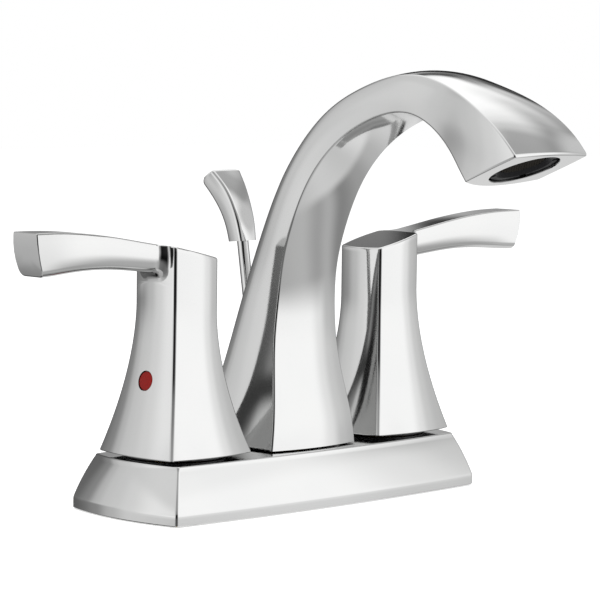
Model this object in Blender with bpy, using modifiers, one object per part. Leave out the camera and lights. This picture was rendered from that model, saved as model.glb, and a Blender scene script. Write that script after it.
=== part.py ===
# Two-handle bathroom faucet on a four inch deck plate.
# Metres, +Z up. The deck is the plane z = 0, the spout points to -Y and the hot side is -X.
# The origin lies under the middle of the deck plate, on the gasket's underside.

import math

import bmesh
import bpy
from mathutils import Matrix, Vector

# Clearances
FIT = 0.0003
SWEEP = 0.0009
CUT_PAST = 0.0100

# Deck plate
VALVE_SPACING = 0.1016
PLATE_LENGTH = 0.1492
PLATE_DEPTH = 0.0547
PLATE_HEIGHT = 0.0194
PLATE_LIP = 0.0039
PLATE_SLOPE_RUN = 0.0058
PLATE_FRONT_BOW = 0.0030
PLATE_END_BOW = 0.0041
PLATE_CORNER_RADIUS = 0.0008
PLATE_TOP_ROUND = 0.0006
PLATE_SLOPE_BULGE = 0.0004
PLATE_WALL = 0.0022

# Gasket
GASKET_THICKNESS = 0.0020
GASKET_INSET = 0.0006

# Valve body and its shank
SHANK_RADIUS = 0.0103
SHANK_LENGTH = 0.0480
SHANK_BORE = 0.0055
FLANGE_RADIUS = 0.0150
FLANGE_THICKNESS = 0.0026
VALVE_RADIUS = 0.0105
VALVE_BORE = 0.0084
VALVE_SEAT_HEIGHT = 0.0062
VALVE_TOP = 0.0310

# Under the deck
DECK_THICKNESS = 0.0200
WASHER_RADIUS = 0.0170
WASHER_THICKNESS = 0.0020
MOUNTING_NUT_ACROSS = 0.0310
MOUNTING_NUT_HEIGHT = 0.0110

# Nuts and rings on the deck plate
PLATE_NUT_ACROSS = 0.0270
PLATE_NUT_HEIGHT = 0.0030
GLIDE_RING_RADIUS = 0.0178
GLIDE_RING_WIDTH = 0.0016
GLIDE_RING_HEIGHT = 0.0026
BONNET_ACROSS = 0.0240
BONNET_SKIRT = 0.0075
BONNET_WEB = 0.0020

# Cartridge
SEAL_HEIGHT = 0.0014
CARTRIDGE_WALL = 0.0010
CARTRIDGE_LEDGE = 0.0018
CARTRIDGE_FLANGE_HEIGHT = 0.0018
CARTRIDGE_FLANGE_RADIUS = 0.0102
CARTRIDGE_NECK_RADIUS = 0.0060
CARTRIDGE_NECK_HEIGHT = 0.0070
DISC_HEIGHT = 0.0028
DISC_PORT_RADIUS = 0.0018
STEM_FOOT_HEIGHT = 0.0034
STEM_RADIUS = 0.0040
STEM_TOP = 0.0720
STEM_SEAL_RADIUS = 0.0008
STEM_SEAL_LEVEL = 0.0255

# Handle
HANDLE_GAP = 0.0015
HANDLE_HEIGHT = 0.0705
HANDLE_FOOT_HALF = 0.0190
HANDLE_NECK_HALF = 0.0101
HANDLE_FLARE_SHARE = 0.72
HANDLE_FLARE_POWER = 1.8
HANDLE_BOW_SHARE = 0.118
HANDLE_EDGE_RADIUS = 0.0011
HANDLE_TOP_ROUND = 0.0006
HANDLE_TOP_SLOPE = 0.2375
HANDLE_WALL = 0.0023
HANDLE_CAVITY_HEIGHT = 0.0360
LEVER_REACH = 0.0697
LEVER_ROOT_HALF = 0.0064
LEVER_WAIST_HALF = 0.0051
LEVER_TIP_HALF = 0.0063
LEVER_RISE = 0.0066
LEVER_ROOT_DEPTH = 0.0097
LEVER_WAIST_DEPTH = 0.0120
LEVER_TIP_DEPTH = 0.0149
LEVER_FILLET = 0.0036
LEVER_LOWER_ROUND = 0.0032
LEVER_TOP_ROUND = 0.0005
LEVER_BOW = 0.0003
LEVER_TIP_LEAN = 0.0032
LEVER_SWEEP = 0.0020
BUTTON_RADIUS = 0.0034
BUTTON_THICKNESS = 0.0015
BUTTON_DOME = 0.0002
BUTTON_HEIGHT = 0.0258
SET_SCREW_RADIUS = 0.0018
SET_SCREW_HEIGHT = 0.0450

# Spout
SPOUT_REACH = 0.1262
SPOUT_RISE = 0.1342
SPOUT_FOOT_HALF = 0.0211
SPOUT_EDGE_RADIUS = 0.0008
SPOUT_WALL = 0.0026
SPOUT_CAVITY_HEIGHT = 0.0165
SPOUT_SOCKET_DEPTH = 0.0100
WATERWAY_RADIUS = 0.0045
WATERWAY_START = 0.0060
NIPPLE_RADIUS = 0.0066
NIPPLE_BORE = 0.0036
NIPPLE_FORWARD = 0.0050
NIPPLE_SEAL_RADIUS = 0.0008
NIPPLE_SEAL_DROP = 0.0040
SPOUT_SCREW_SIDE = 0.0140
SPOUT_SCREW_FORWARD = 0.0090
SPOUT_SCREW_RADIUS = 0.0020
SPOUT_SCREW_HEAD = 0.0034
SPOUT_SCREW_GRIP = 0.0085

# Centre body and cross tubes
CENTRE_HALF = 0.0100
CENTRE_FRONT = 0.0130
CENTRE_BACK = 0.0029
CENTRE_BOTTOM = 0.0035
CENTRE_TOP = 0.0165
CENTRE_SOCKET = 0.0045
TUBE_LEVEL = 0.0100
TUBE_FORWARD = 0.0020
TUBE_RADIUS = 0.0035
TUBE_WALL = 0.0008
TUBE_ENTRY = 0.0015
TUBE_STOP = 0.0006

# Outlet and aerator
OUTLET_FORWARD_SHARE = 0.91046
OUTLET_UP_SHARE = 0.769747
OUTLET_TILT = math.radians(22.5)
AERATOR_INSET = 0.0008
AERATOR_RIM_RADIUS = 0.0119
AERATOR_RIM_HEIGHT = 0.0022
AERATOR_BODY_RADIUS = 0.0093
AERATOR_BODY_HEIGHT = 0.0036
AERATOR_WALL = 0.0011
AERATOR_NOTCH = 0.0022
AERATOR_NOTCH_WALL = 0.0004
AERATOR_WASHER_HEIGHT = 0.0011
SCREEN_THICKNESS = 0.0012
SCREEN_HOLE = 0.00105
SCREEN_PITCH = 0.0034

# Lift rod and knob
ROD_RADIUS = 0.0021
ROD_LEAN = math.radians(9.4)
ROD_KNOB_HEIGHT = 0.0722
ROD_BACK = 0.0206
ROD_BELOW_DECK = 0.0800
ROD_IN_KNOB = 0.0080
KNOB_HEIGHT = 0.0250
KNOB_FOOT_HALF = 0.0039
KNOB_TOP_HALF = 0.0069
KNOB_DOME = 0.0017
KNOB_EDGE_RADIUS = 0.0006
KNOB_BOW = 0.0003
BUSHING_WALL = 0.0010
BUSHING_LENGTH = 0.0150

# Turned pieces
FINE_SIDES = 32
PLAIN_SIDES = 24

# Spout outline. Each row is one station of the arch, from the foot to the nose: forward
# and up for its middle, then forward and up from there to its inner edge, the inner
# edge's half width and the bow of the face along it, the outer edge's half width and
# bow, and the bow of the two flanks. The middle is in shares of the reach and the rise,
# and the rest in shares of the foot's half width.
SPOUT_STATIONS = (
    (-0.0120, 0.0000, 0.9091, 0.0000, 1.0000, 0.1232, 1.0000, 0.1232, 0.0995),
    (-0.0020, 0.0860, 0.8134, 0.0000, 0.9242, 0.1137, 0.9242, 0.1137, 0.0948),
    (0.0050, 0.1955, 0.6519, -0.0095, 0.8152, 0.0995, 0.8057, 0.0995, 0.0853),
    (0.0140, 0.3060, 0.5224, 0.0000, 0.7346, 0.0853, 0.7156, 0.0853, 0.0758),
    (0.0369, 0.4335, 0.4241, 0.0032, 0.6730, 0.0758, 0.6445, 0.0758, 0.0664),
    (0.0782, 0.5595, 0.3337, -0.0413, 0.6682, 0.0711, 0.6303, 0.0711, 0.0569),
    (0.1597, 0.7150, 0.2674, -0.1113, 0.6635, 0.0664, 0.6445, 0.0664, 0.0521),
    (0.2795, 0.8421, 0.1764, -0.2185, 0.6682, 0.0664, 0.6540, 0.0664, 0.0474),
    (0.4158, 0.9166, 0.1098, -0.2566, 0.6777, 0.0664, 0.6540, 0.0664, 0.0474),
    (0.5630, 0.9515, -0.0072, -0.3024, 0.6872, 0.0664, 0.6303, 0.0664, 0.0474),
    (0.6860, 0.9305, -0.1355, -0.3148, 0.7109, 0.0806, 0.6351, 0.0664, 0.0474),
    (0.7898, 0.8804, -0.2868, -0.3291, 0.7488, 0.1232, 0.7915, 0.0711, 0.0474),
    (0.8690, 0.8228, -0.4244, -0.3002, 0.8246, 0.1991, 0.8626, 0.0758, 0.0427),
    (0.9156, 0.7793, -0.5048, -0.2172, 0.8815, 0.2417, 0.8626, 0.0806, 0.0284),
)

# Knob outline: back and up for the front edge and for the back edge, then how far the
# half width has grown from foot to top. Back and up are shares of the knob's height.
KNOB_STATIONS = (
    (-0.138, 0.008, 0.146, -0.018, 0.00),
    (-0.080, 0.276, 0.200, 0.208, 0.16),
    (0.024, 0.544, 0.304, 0.428, 0.31),
    (0.168, 0.788, 0.446, 0.636, 0.57),
    (0.356, 1.000, 0.612, 0.844, 1.00),
)

# Derived places
VALVE_OUT = VALVE_SPACING / 2
PLATE_CEILING = PLATE_HEIGHT - PLATE_WALL
NECK_HOLE = VALVE_RADIUS + FIT
HANDLE_BASE = PLATE_HEIGHT + HANDLE_GAP
CARTRIDGE_BOTTOM = VALVE_SEAT_HEIGHT + SEAL_HEIGHT + 2 * FIT
CARTRIDGE_RADIUS = VALVE_BORE - FIT
CARTRIDGE_BORE = CARTRIDGE_RADIUS - CARTRIDGE_WALL
DISC_RADIUS = CARTRIDGE_BORE - FIT
FIXED_DISC_BOTTOM = CARTRIDGE_BOTTOM + CARTRIDGE_LEDGE + FIT
MOVING_DISC_BOTTOM = FIXED_DISC_BOTTOM + DISC_HEIGHT + FIT
STEM_BOTTOM = MOVING_DISC_BOTTOM + DISC_HEIGHT + FIT
STEM_SHOULDER = STEM_BOTTOM + STEM_FOOT_HEIGHT
CARTRIDGE_FLANGE_BOTTOM = VALVE_TOP + FIT
CARTRIDGE_FLANGE_TOP = CARTRIDGE_FLANGE_BOTTOM + CARTRIDGE_FLANGE_HEIGHT
PLATE_NUT_BOTTOM = PLATE_HEIGHT + FIT
OUTLET_CENTRE = Vector((0.0, -OUTLET_FORWARD_SHARE * SPOUT_REACH,
                        PLATE_HEIGHT + FIT + OUTLET_UP_SHARE * SPOUT_RISE))
ROD_DIRECTION = Vector((0.0, math.sin(ROD_LEAN), math.cos(ROD_LEAN)))
ROD_POINT = Vector((0.0, ROD_BACK, PLATE_HEIGHT + ROD_KNOB_HEIGHT))


def clear_scene():
    for old in list(bpy.data.objects):
        bpy.data.objects.remove(old, do_unlink=True)


def collection(name):
    made = bpy.data.collections.new(name)
    bpy.context.scene.collection.children.link(made)
    return made


def finish_material(name, colour, metallic, roughness):
    material = bpy.data.materials.new(name)
    material.use_nodes = True
    shader = material.node_tree.nodes["Principled BSDF"]
    shader.inputs["Base Color"].default_value = (*colour, 1.0)
    shader.inputs["Metallic"].default_value = metallic
    shader.inputs["Roughness"].default_value = roughness
    return material


clear_scene()
PARTS = collection("two_handle_faucet")
CUTTERS = collection("cutters")
CHROME = finish_material("chrome", (0.80, 0.81, 0.82), 1.0, 0.06)
BRASS = finish_material("brass", (0.78, 0.57, 0.27), 1.0, 0.32)
COPPER = finish_material("copper", (0.72, 0.38, 0.24), 1.0, 0.35)
RUBBER = finish_material("rubber", (0.03, 0.03, 0.03), 0.0, 0.75)
CERAMIC = finish_material("ceramic", (0.90, 0.89, 0.86), 0.0, 0.25)
DARK_PLASTIC = finish_material("dark_plastic", (0.03, 0.03, 0.035), 0.0, 0.45)
PALE_PLASTIC = finish_material("pale_plastic", (0.72, 0.72, 0.70), 0.0, 0.5)
STEEL = finish_material("steel", (0.56, 0.57, 0.58), 1.0, 0.28)
RED_ENAMEL = finish_material("red_enamel", (0.45, 0.01, 0.01), 0.0, 0.3)
BLUE_ENAMEL = finish_material("blue_enamel", (0.02, 0.08, 0.45), 0.0, 0.3)


def own_material(base, node):
    material = base.copy()
    material.name = node + "_" + base.name
    return material


def add_part(name, mesh, material, smooth_angle=math.radians(35)):
    part = bpy.data.objects.new(name, mesh)
    PARTS.objects.link(part)
    mesh.materials.clear()
    mesh.materials.append(own_material(material, name))
    mesh.shade_smooth()
    mesh.set_sharp_from_angle(angle=smooth_angle)
    return part


def add_cutter(name, mesh):
    cutter = bpy.data.objects.new(name, mesh)
    CUTTERS.objects.link(cutter)
    cutter.hide_render = True
    cutter.display_type = "WIRE"
    return cutter


def mesh_from(bm, name):
    bmesh.ops.recalc_face_normals(bm, faces=bm.faces)
    mesh = bpy.data.meshes.new(name)
    bm.to_mesh(mesh)
    bm.free()
    return mesh


def join_shape(part, cutter, operation):
    boolean = part.modifiers.new(operation.lower() + "_" + cutter.name, "BOOLEAN")
    boolean.operation = operation
    boolean.solver = "EXACT"
    boolean.object = cutter
    return boolean


def cut(part, cutter):
    return join_shape(part, cutter, "DIFFERENCE")


def unite(part, addition):
    return join_shape(part, addition, "UNION")


def place(thing, location, rotation=(0.0, 0.0, 0.0), parent=None):
    thing.location = location
    thing.rotation_euler = rotation
    if parent is not None:
        thing.parent = parent
    return thing


def smooth_row(rows, index, share):
    # One row of values between two stations, on a curve through all stations
    count = len(rows)
    before = rows[max(index - 1, 0)]
    start = rows[index]
    end = rows[min(index + 1, count - 1)]
    after = rows[min(index + 2, count - 1)]
    square = share * share
    cube = square * share
    values = []
    for a, b, c, d in zip(before, start, end, after):
        values.append(0.5 * (2 * b + (c - a) * share + (2 * a - 5 * b + 4 * c - d) * square
                             + (3 * b - a - 3 * c + d) * cube))
    return values


def smooth_value(points, position):
    # A height read at a position from a smooth curve through (position, height) points
    last = len(points) - 2
    index = 0
    while index < last and position > points[index + 1][0]:
        index += 1
    left, right = points[index], points[index + 1]
    span = right[0] - left[0]
    share = min(max((position - left[0]) / span, 0.0), 1.0)

    def slope(i):
        low = points[max(i - 1, 0)]
        high = points[min(i + 1, len(points) - 1)]
        return (high[1] - low[1]) / (high[0] - low[0])

    square = share * share
    cube = square * share
    return ((2 * cube - 3 * square + 1) * left[1] + (cube - 2 * square + share) * span * slope(index)
            + (3 * square - 2 * cube) * right[1] + (cube - square) * span * slope(index + 1))


def bowed_ring(corners, bows, radii, side_steps=4):
    # A four-sided outline whose sides bow outwards and whose corners are rounded
    ring = []
    for i in range(4):
        start, end = corners[i], corners[(i + 1) % 4]
        length = (end - start).length
        first = radii[i] / length
        last = 1.0 - radii[(i + 1) % 4] / length
        side = []
        for step in range(side_steps + 1):
            share = first + (last - first) * step / side_steps
            side.append(start.lerp(end, share) + bows[i] * (4.0 * share * (1.0 - share)))
        ring.append(side)
    points = []
    for i in range(4):
        points.extend(ring[i])
        corner = corners[(i + 1) % 4]
        chord = (ring[i][-1] + ring[(i + 1) % 4][0]) / 2
        points.append(chord.lerp(corner, 0.55))
    return points


def loft(name, rings):
    bm = bmesh.new()
    made = [[bm.verts.new(point) for point in ring] for ring in rings]
    count = len(made[0])
    for low, high in zip(made[:-1], made[1:]):
        for i in range(count):
            j = (i + 1) % count
            bm.faces.new((low[i], low[j], high[j], high[i]))
    bm.faces.new(list(reversed(made[0])))
    bm.faces.new(made[-1])
    return mesh_from(bm, name)


def turned(name, profile, sides=PLAIN_SIDES, closed=True):
    # A profile of (radius, height) points, down its outer side, spun about Z
    mesh = bpy.data.meshes.new(name)
    vertices = [(radius, 0.0, height) for radius, height in profile]
    edges = [(i, i + 1) for i in range(len(profile) - 1)]
    if closed:
        edges.append((len(profile) - 1, 0))
    mesh.from_pydata(vertices, edges, [])
    spun = bpy.data.objects.new(name, mesh)
    CUTTERS.objects.link(spun)
    screw = spun.modifiers.new("spin", "SCREW")
    screw.angle = math.tau
    screw.steps = sides
    screw.render_steps = sides
    screw.use_merge_vertices = True
    screw.merge_threshold = 0.00001
    result = bpy.data.meshes.new_from_object(spun.evaluated_get(bpy.context.evaluated_depsgraph_get()))
    result.name = name
    bpy.data.objects.remove(spun, do_unlink=True)
    bm = bmesh.new()
    bm.from_mesh(result)
    bmesh.ops.remove_doubles(bm, verts=bm.verts, dist=0.00001)
    bmesh.ops.recalc_face_normals(bm, faces=bm.faces)
    bm.to_mesh(result)
    bm.free()
    return result


def tube_profile(outer, inner, bottom, top):
    return [(outer, top), (outer, bottom), (inner, bottom), (inner, top)]


def disc_profile(radius, bottom, top):
    return [(0.0, top), (radius, top), (radius, bottom), (0.0, bottom)]


def ring_profile(centre, radius, level, steps=8):
    points = []
    for i in range(steps):
        angle = math.pi / 2 - math.tau * i / steps
        points.append((centre + radius * math.cos(angle), level + radius * math.sin(angle)))
    return points


def drum(name, radius, bottom, top, sides=PLAIN_SIDES):
    return turned(name, disc_profile(radius, bottom, top), sides, closed=False)


def prism(name, across_flats, bottom, top, sides=6):
    bm = bmesh.new()
    corner = across_flats / 2 / math.cos(math.pi / sides)
    bmesh.ops.create_cone(bm, cap_ends=True, segments=sides, radius1=corner, radius2=corner,
                          depth=top - bottom, matrix=Matrix.Translation((0, 0, (top + bottom) / 2)))
    return mesh_from(bm, name)


def block(name, low, high):
    bm = bmesh.new()
    middle = (Vector(low) + Vector(high)) / 2
    size = Vector(high) - Vector(low)
    bmesh.ops.create_cube(bm, size=1.0, matrix=Matrix.Translation(middle) @ Matrix.Diagonal((*size, 1.0)))
    return mesh_from(bm, name)


def plate_ring(inset, level):
    half_length = PLATE_LENGTH / 2 - inset
    half_depth = PLATE_DEPTH / 2 - inset
    corners = [Vector((-half_length, -half_depth, level)), Vector((half_length, -half_depth, level)),
               Vector((half_length, half_depth, level)), Vector((-half_length, half_depth, level))]
    bows = [Vector((0, -PLATE_FRONT_BOW, 0)), Vector((PLATE_END_BOW, 0, 0)),
            Vector((0, PLATE_FRONT_BOW, 0)), Vector((-PLATE_END_BOW, 0, 0))]
    return bowed_ring(corners, bows, [PLATE_CORNER_RADIUS] * 4, side_steps=8)


def plate_slope(level):
    rise = PLATE_HEIGHT - PLATE_LIP
    return PLATE_SLOPE_RUN * max(level - PLATE_LIP, 0.0) / rise


def rod_place(level):
    # Where the lift rod's axis crosses a level
    return ROD_POINT + ROD_DIRECTION * ((level - ROD_POINT.z) / ROD_DIRECTION.z)


def make_deck_plate():
    top = PLATE_HEIGHT
    middle = (PLATE_LIP + PLATE_HEIGHT) / 2
    rings = [plate_ring(0.0, 0.0), plate_ring(0.0, PLATE_LIP - PLATE_TOP_ROUND),
             plate_ring(plate_slope(PLATE_LIP + PLATE_TOP_ROUND), PLATE_LIP + PLATE_TOP_ROUND),
             plate_ring(plate_slope(middle) - PLATE_SLOPE_BULGE, middle),
             plate_ring(plate_slope(top - PLATE_TOP_ROUND), top - PLATE_TOP_ROUND),
             plate_ring(plate_slope(top) + PLATE_TOP_ROUND, top)]
    plate = add_part("deck_plate", loft("deck_plate", rings), CHROME)
    inside = [plate_ring(PLATE_WALL, -PLATE_WALL),
              plate_ring(PLATE_WALL + plate_slope(PLATE_LIP), PLATE_LIP),
              plate_ring(PLATE_WALL + plate_slope(PLATE_CEILING), PLATE_CEILING)]
    cut(plate, add_cutter("plate_inside", loft("plate_inside", inside)))
    for side, label in ((-1, "hot"), (1, "cold")):
        hole = add_cutter(label + "_neck_hole", drum("neck_hole", NECK_HOLE, 0.0, PLATE_HEIGHT + CUT_PAST, FINE_SIDES))
        cut(plate, place(hole, (side * VALVE_OUT, 0, 0)))
        screw_hole = add_cutter(label + "_screw_hole", drum("screw_hole", SPOUT_SCREW_RADIUS + FIT, 0.0,
                                                            PLATE_HEIGHT + CUT_PAST, 12))
        cut(plate, place(screw_hole, (side * SPOUT_SCREW_SIDE, -SPOUT_SCREW_FORWARD, 0)))
    nipple_hole = add_cutter("nipple_hole", drum("nipple_hole", NIPPLE_RADIUS + FIT, 0.0,
                                                      PLATE_HEIGHT + CUT_PAST))
    cut(plate, place(nipple_hole, (0, -NIPPLE_FORWARD, 0)))
    rod_hole = add_cutter("plate_rod_hole", drum("plate_rod_hole", ROD_RADIUS + SWEEP, -CUT_PAST,
                                                     CUT_PAST, 16))
    cut(plate, place(rod_hole, rod_place(PLATE_HEIGHT), (-ROD_LEAN, 0, 0)))
    return plate


def make_base_gasket():
    inset = PLATE_WALL + GASKET_INSET
    rings = [plate_ring(inset, 0.0), plate_ring(inset, GASKET_THICKNESS)]
    gasket = add_part("base_gasket", loft("base_gasket", rings), RUBBER)
    for side, label in ((-1, "hot"), (1, "cold")):
        hole = add_cutter(label + "_gasket_hole", drum("gasket_hole", SHANK_RADIUS + FIT, -CUT_PAST,
                                                            CUT_PAST))
        cut(gasket, place(hole, (side * VALVE_OUT, 0, 0)))
    rod_hole = add_cutter("gasket_rod_hole", drum("gasket_rod_hole", ROD_RADIUS + SWEEP, -CUT_PAST,
                                                      CUT_PAST, 16))
    cut(gasket, place(rod_hole, rod_place(0.0), (-ROD_LEAN, 0, 0)))
    return gasket


def make_valve_body(label, side):
    flange_bottom = GASKET_THICKNESS + FIT
    flange_top = flange_bottom + FLANGE_THICKNESS
    profile = [(VALVE_RADIUS, VALVE_TOP), (VALVE_RADIUS, flange_top), (FLANGE_RADIUS, flange_top),
               (FLANGE_RADIUS, flange_bottom), (SHANK_RADIUS, flange_bottom), (SHANK_RADIUS, -SHANK_LENGTH),
               (SHANK_BORE, -SHANK_LENGTH), (SHANK_BORE, VALVE_SEAT_HEIGHT), (VALVE_BORE, VALVE_SEAT_HEIGHT),
               (VALVE_BORE, VALVE_TOP)]
    name = label + "_valve_body"
    body = add_part(name, turned(name, profile, FINE_SIDES), BRASS)
    place(body, (side * VALVE_OUT, 0, 0))
    port = add_cutter(label + "_port", drum("port", TUBE_RADIUS + FIT, 0.0, VALVE_RADIUS + CUT_PAST, 16))
    cut(body, place(port, (side * VALVE_OUT, -TUBE_FORWARD, TUBE_LEVEL), (0, -side * math.pi / 2, 0)))
    return body


def make_under_deck(label, side):
    washer_top = -DECK_THICKNESS
    washer_bottom = washer_top - WASHER_THICKNESS
    name = label + "_mounting_washer"
    washer = add_part(name, turned(name, tube_profile(WASHER_RADIUS, SHANK_RADIUS + FIT, washer_bottom,
                                                      washer_top)), STEEL)
    place(washer, (side * VALVE_OUT, 0, 0))
    name = label + "_mounting_nut"
    nut_top = washer_bottom - FIT
    nut_bottom = nut_top - MOUNTING_NUT_HEIGHT
    nut = add_part(name, prism(name, MOUNTING_NUT_ACROSS, nut_bottom, nut_top), PALE_PLASTIC)
    place(nut, (side * VALVE_OUT, 0, 0))
    hole = add_cutter(label + "_nut_hole", drum("nut_hole", SHANK_RADIUS + FIT, nut_bottom - CUT_PAST,
                                                      nut_top + CUT_PAST))
    cut(nut, place(hole, (side * VALVE_OUT, 0, 0)))


def make_plate_nut(label, side):
    name = label + "_plate_nut"
    nut = add_part(name, prism(name, PLATE_NUT_ACROSS, PLATE_NUT_BOTTOM, PLATE_NUT_BOTTOM + PLATE_NUT_HEIGHT), BRASS)
    place(nut, (side * VALVE_OUT, 0, 0))
    hole = add_cutter(label + "_plate_nut_hole", drum("plate_nut_hole", VALVE_RADIUS + FIT,
                                                      PLATE_NUT_BOTTOM - CUT_PAST,
                                                      PLATE_NUT_BOTTOM + PLATE_NUT_HEIGHT + CUT_PAST))
    cut(nut, place(hole, (side * VALVE_OUT, 0, 0)))


def make_glide_ring(label, side):
    name = label + "_glide_ring"
    profile = tube_profile(GLIDE_RING_RADIUS, GLIDE_RING_RADIUS - GLIDE_RING_WIDTH, PLATE_HEIGHT + FIT,
                           PLATE_HEIGHT + FIT + GLIDE_RING_HEIGHT)
    place(add_part(name, turned(name, profile, FINE_SIDES), DARK_PLASTIC), (side * VALVE_OUT, 0, 0))


def make_bonnet_nut(label, side):
    web_bottom = CARTRIDGE_FLANGE_TOP + FIT
    web_top = web_bottom + BONNET_WEB
    skirt_bottom = VALVE_TOP - BONNET_SKIRT
    name = label + "_bonnet_nut"
    nut = add_part(name, prism(name, BONNET_ACROSS, skirt_bottom, web_top), BRASS)
    place(nut, (side * VALVE_OUT, 0, 0))
    profile = [(0.0, web_top + CUT_PAST), (CARTRIDGE_NECK_RADIUS + FIT, web_top + CUT_PAST),
               (CARTRIDGE_NECK_RADIUS + FIT, web_bottom), (VALVE_RADIUS + FIT, web_bottom),
               (VALVE_RADIUS + FIT, skirt_bottom - CUT_PAST), (0.0, skirt_bottom - CUT_PAST)]
    inside = add_cutter(label + "_bonnet_inside", turned("bonnet_inside", profile, closed=False))
    cut(nut, place(inside, (side * VALVE_OUT, 0, 0)))


def make_cartridge(label, side):
    bore = STEM_RADIUS + FIT
    groove = STEM_RADIUS + 2 * (STEM_SEAL_RADIUS + FIT)
    groove_half = STEM_SEAL_RADIUS + FIT
    cavity_top = STEM_SHOULDER + FIT
    neck_top = CARTRIDGE_FLANGE_TOP + CARTRIDGE_NECK_HEIGHT
    profile = [(CARTRIDGE_NECK_RADIUS, neck_top), (CARTRIDGE_NECK_RADIUS, CARTRIDGE_FLANGE_TOP),
               (CARTRIDGE_FLANGE_RADIUS, CARTRIDGE_FLANGE_TOP), (CARTRIDGE_FLANGE_RADIUS, CARTRIDGE_FLANGE_BOTTOM),
               (CARTRIDGE_RADIUS, CARTRIDGE_FLANGE_BOTTOM), (CARTRIDGE_RADIUS, CARTRIDGE_BOTTOM),
               (CARTRIDGE_BORE - CARTRIDGE_WALL, CARTRIDGE_BOTTOM),
               (CARTRIDGE_BORE - CARTRIDGE_WALL, CARTRIDGE_BOTTOM + CARTRIDGE_LEDGE),
               (CARTRIDGE_BORE, CARTRIDGE_BOTTOM + CARTRIDGE_LEDGE), (CARTRIDGE_BORE, cavity_top),
               (bore, cavity_top), (bore, STEM_SEAL_LEVEL - groove_half), (groove, STEM_SEAL_LEVEL - groove_half),
               (groove, STEM_SEAL_LEVEL + groove_half), (bore, STEM_SEAL_LEVEL + groove_half), (bore, neck_top)]
    name = label + "_cartridge_body"
    body = add_part(name, turned(name, profile), BRASS)
    place(body, (side * VALVE_OUT, 0, 0))
    window_level = (MOVING_DISC_BOTTOM + STEM_BOTTOM) / 2
    window = block("window", (-CARTRIDGE_RADIUS - 0.002, -0.002, window_level - 0.001),
                   (CARTRIDGE_RADIUS + 0.002, 0.002, window_level + 0.001))
    cut(body, place(add_cutter(label + "_window", window), (side * VALVE_OUT, 0, 0)))
    name = label + "_seat_seal"
    seal = turned(name, tube_profile(CARTRIDGE_RADIUS, SHANK_BORE, VALVE_SEAT_HEIGHT + FIT,
                                     VALVE_SEAT_HEIGHT + FIT + SEAL_HEIGHT))
    place(add_part(name, seal, RUBBER), (side * VALVE_OUT, 0, 0))
    name = label + "_fixed_disc"
    disc = add_part(name, drum(name, DISC_RADIUS, FIXED_DISC_BOTTOM, FIXED_DISC_BOTTOM + DISC_HEIGHT), CERAMIC)
    place(disc, (side * VALVE_OUT, 0, 0))
    for turn, word in ((-1, "front"), (1, "back")):
        port = add_cutter(label + "_" + word + "_disc_port", drum("disc_port", DISC_PORT_RADIUS,
                                                                  FIXED_DISC_BOTTOM - CUT_PAST, MOVING_DISC_BOTTOM, 12))
        cut(disc, place(port, (side * VALVE_OUT, turn * DISC_RADIUS / 2, 0)))
    name = label + "_stem_seal"
    seal = turned(name, ring_profile(STEM_RADIUS + FIT + STEM_SEAL_RADIUS, STEM_SEAL_RADIUS, STEM_SEAL_LEVEL, 6), 20)
    place(add_part(name, seal, RUBBER), (side * VALVE_OUT, 0, 0))


def handle_half(height):
    share = max(1.0 - height / HANDLE_HEIGHT / HANDLE_FLARE_SHARE, 0.0) ** HANDLE_FLARE_POWER
    return HANDLE_NECK_HALF + (HANDLE_FOOT_HALF - HANDLE_NECK_HALF) * share


def handle_bow(height):
    half = handle_half(height)
    return HANDLE_BOW_SHARE * half + 0.04 * (half - HANDLE_NECK_HALF)


def hub_ring(height, inset, side):
    # A level ring of the hub, whose top follows the slope that rises to the lever
    half = handle_half(height) - inset
    bow = handle_bow(height)
    corners = [Vector((-half, -half, 0)), Vector((half, -half, 0)), Vector((half, half, 0)), Vector((-half, half, 0))]
    bows = [Vector((0, -bow, 0)), Vector((bow, 0, 0)), Vector((0, bow, 0)), Vector((-bow, 0, 0))]
    ring = bowed_ring(corners, bows, [HANDLE_EDGE_RADIUS] * 4)
    share = height / HANDLE_HEIGHT
    return [Vector((p.x, p.y, HANDLE_BASE + height + share * HANDLE_TOP_SLOPE * p.x * side)) for p in ring]


def lever_top(out):
    root = HANDLE_NECK_HALF
    start = HANDLE_BASE + HANDLE_HEIGHT + HANDLE_TOP_SLOPE * root
    length = LEVER_REACH - root
    points = [(0.0, HANDLE_BASE + HANDLE_HEIGHT), (root, start),
              (root + 0.17 * length, start + 0.25 * LEVER_RISE), (root + 0.38 * length, start + 0.57 * LEVER_RISE),
              (root + 0.60 * length, start + 0.83 * LEVER_RISE), (root + 0.80 * length, start + 0.97 * LEVER_RISE),
              (LEVER_REACH, start + LEVER_RISE)]
    return smooth_value(points, out)


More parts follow.
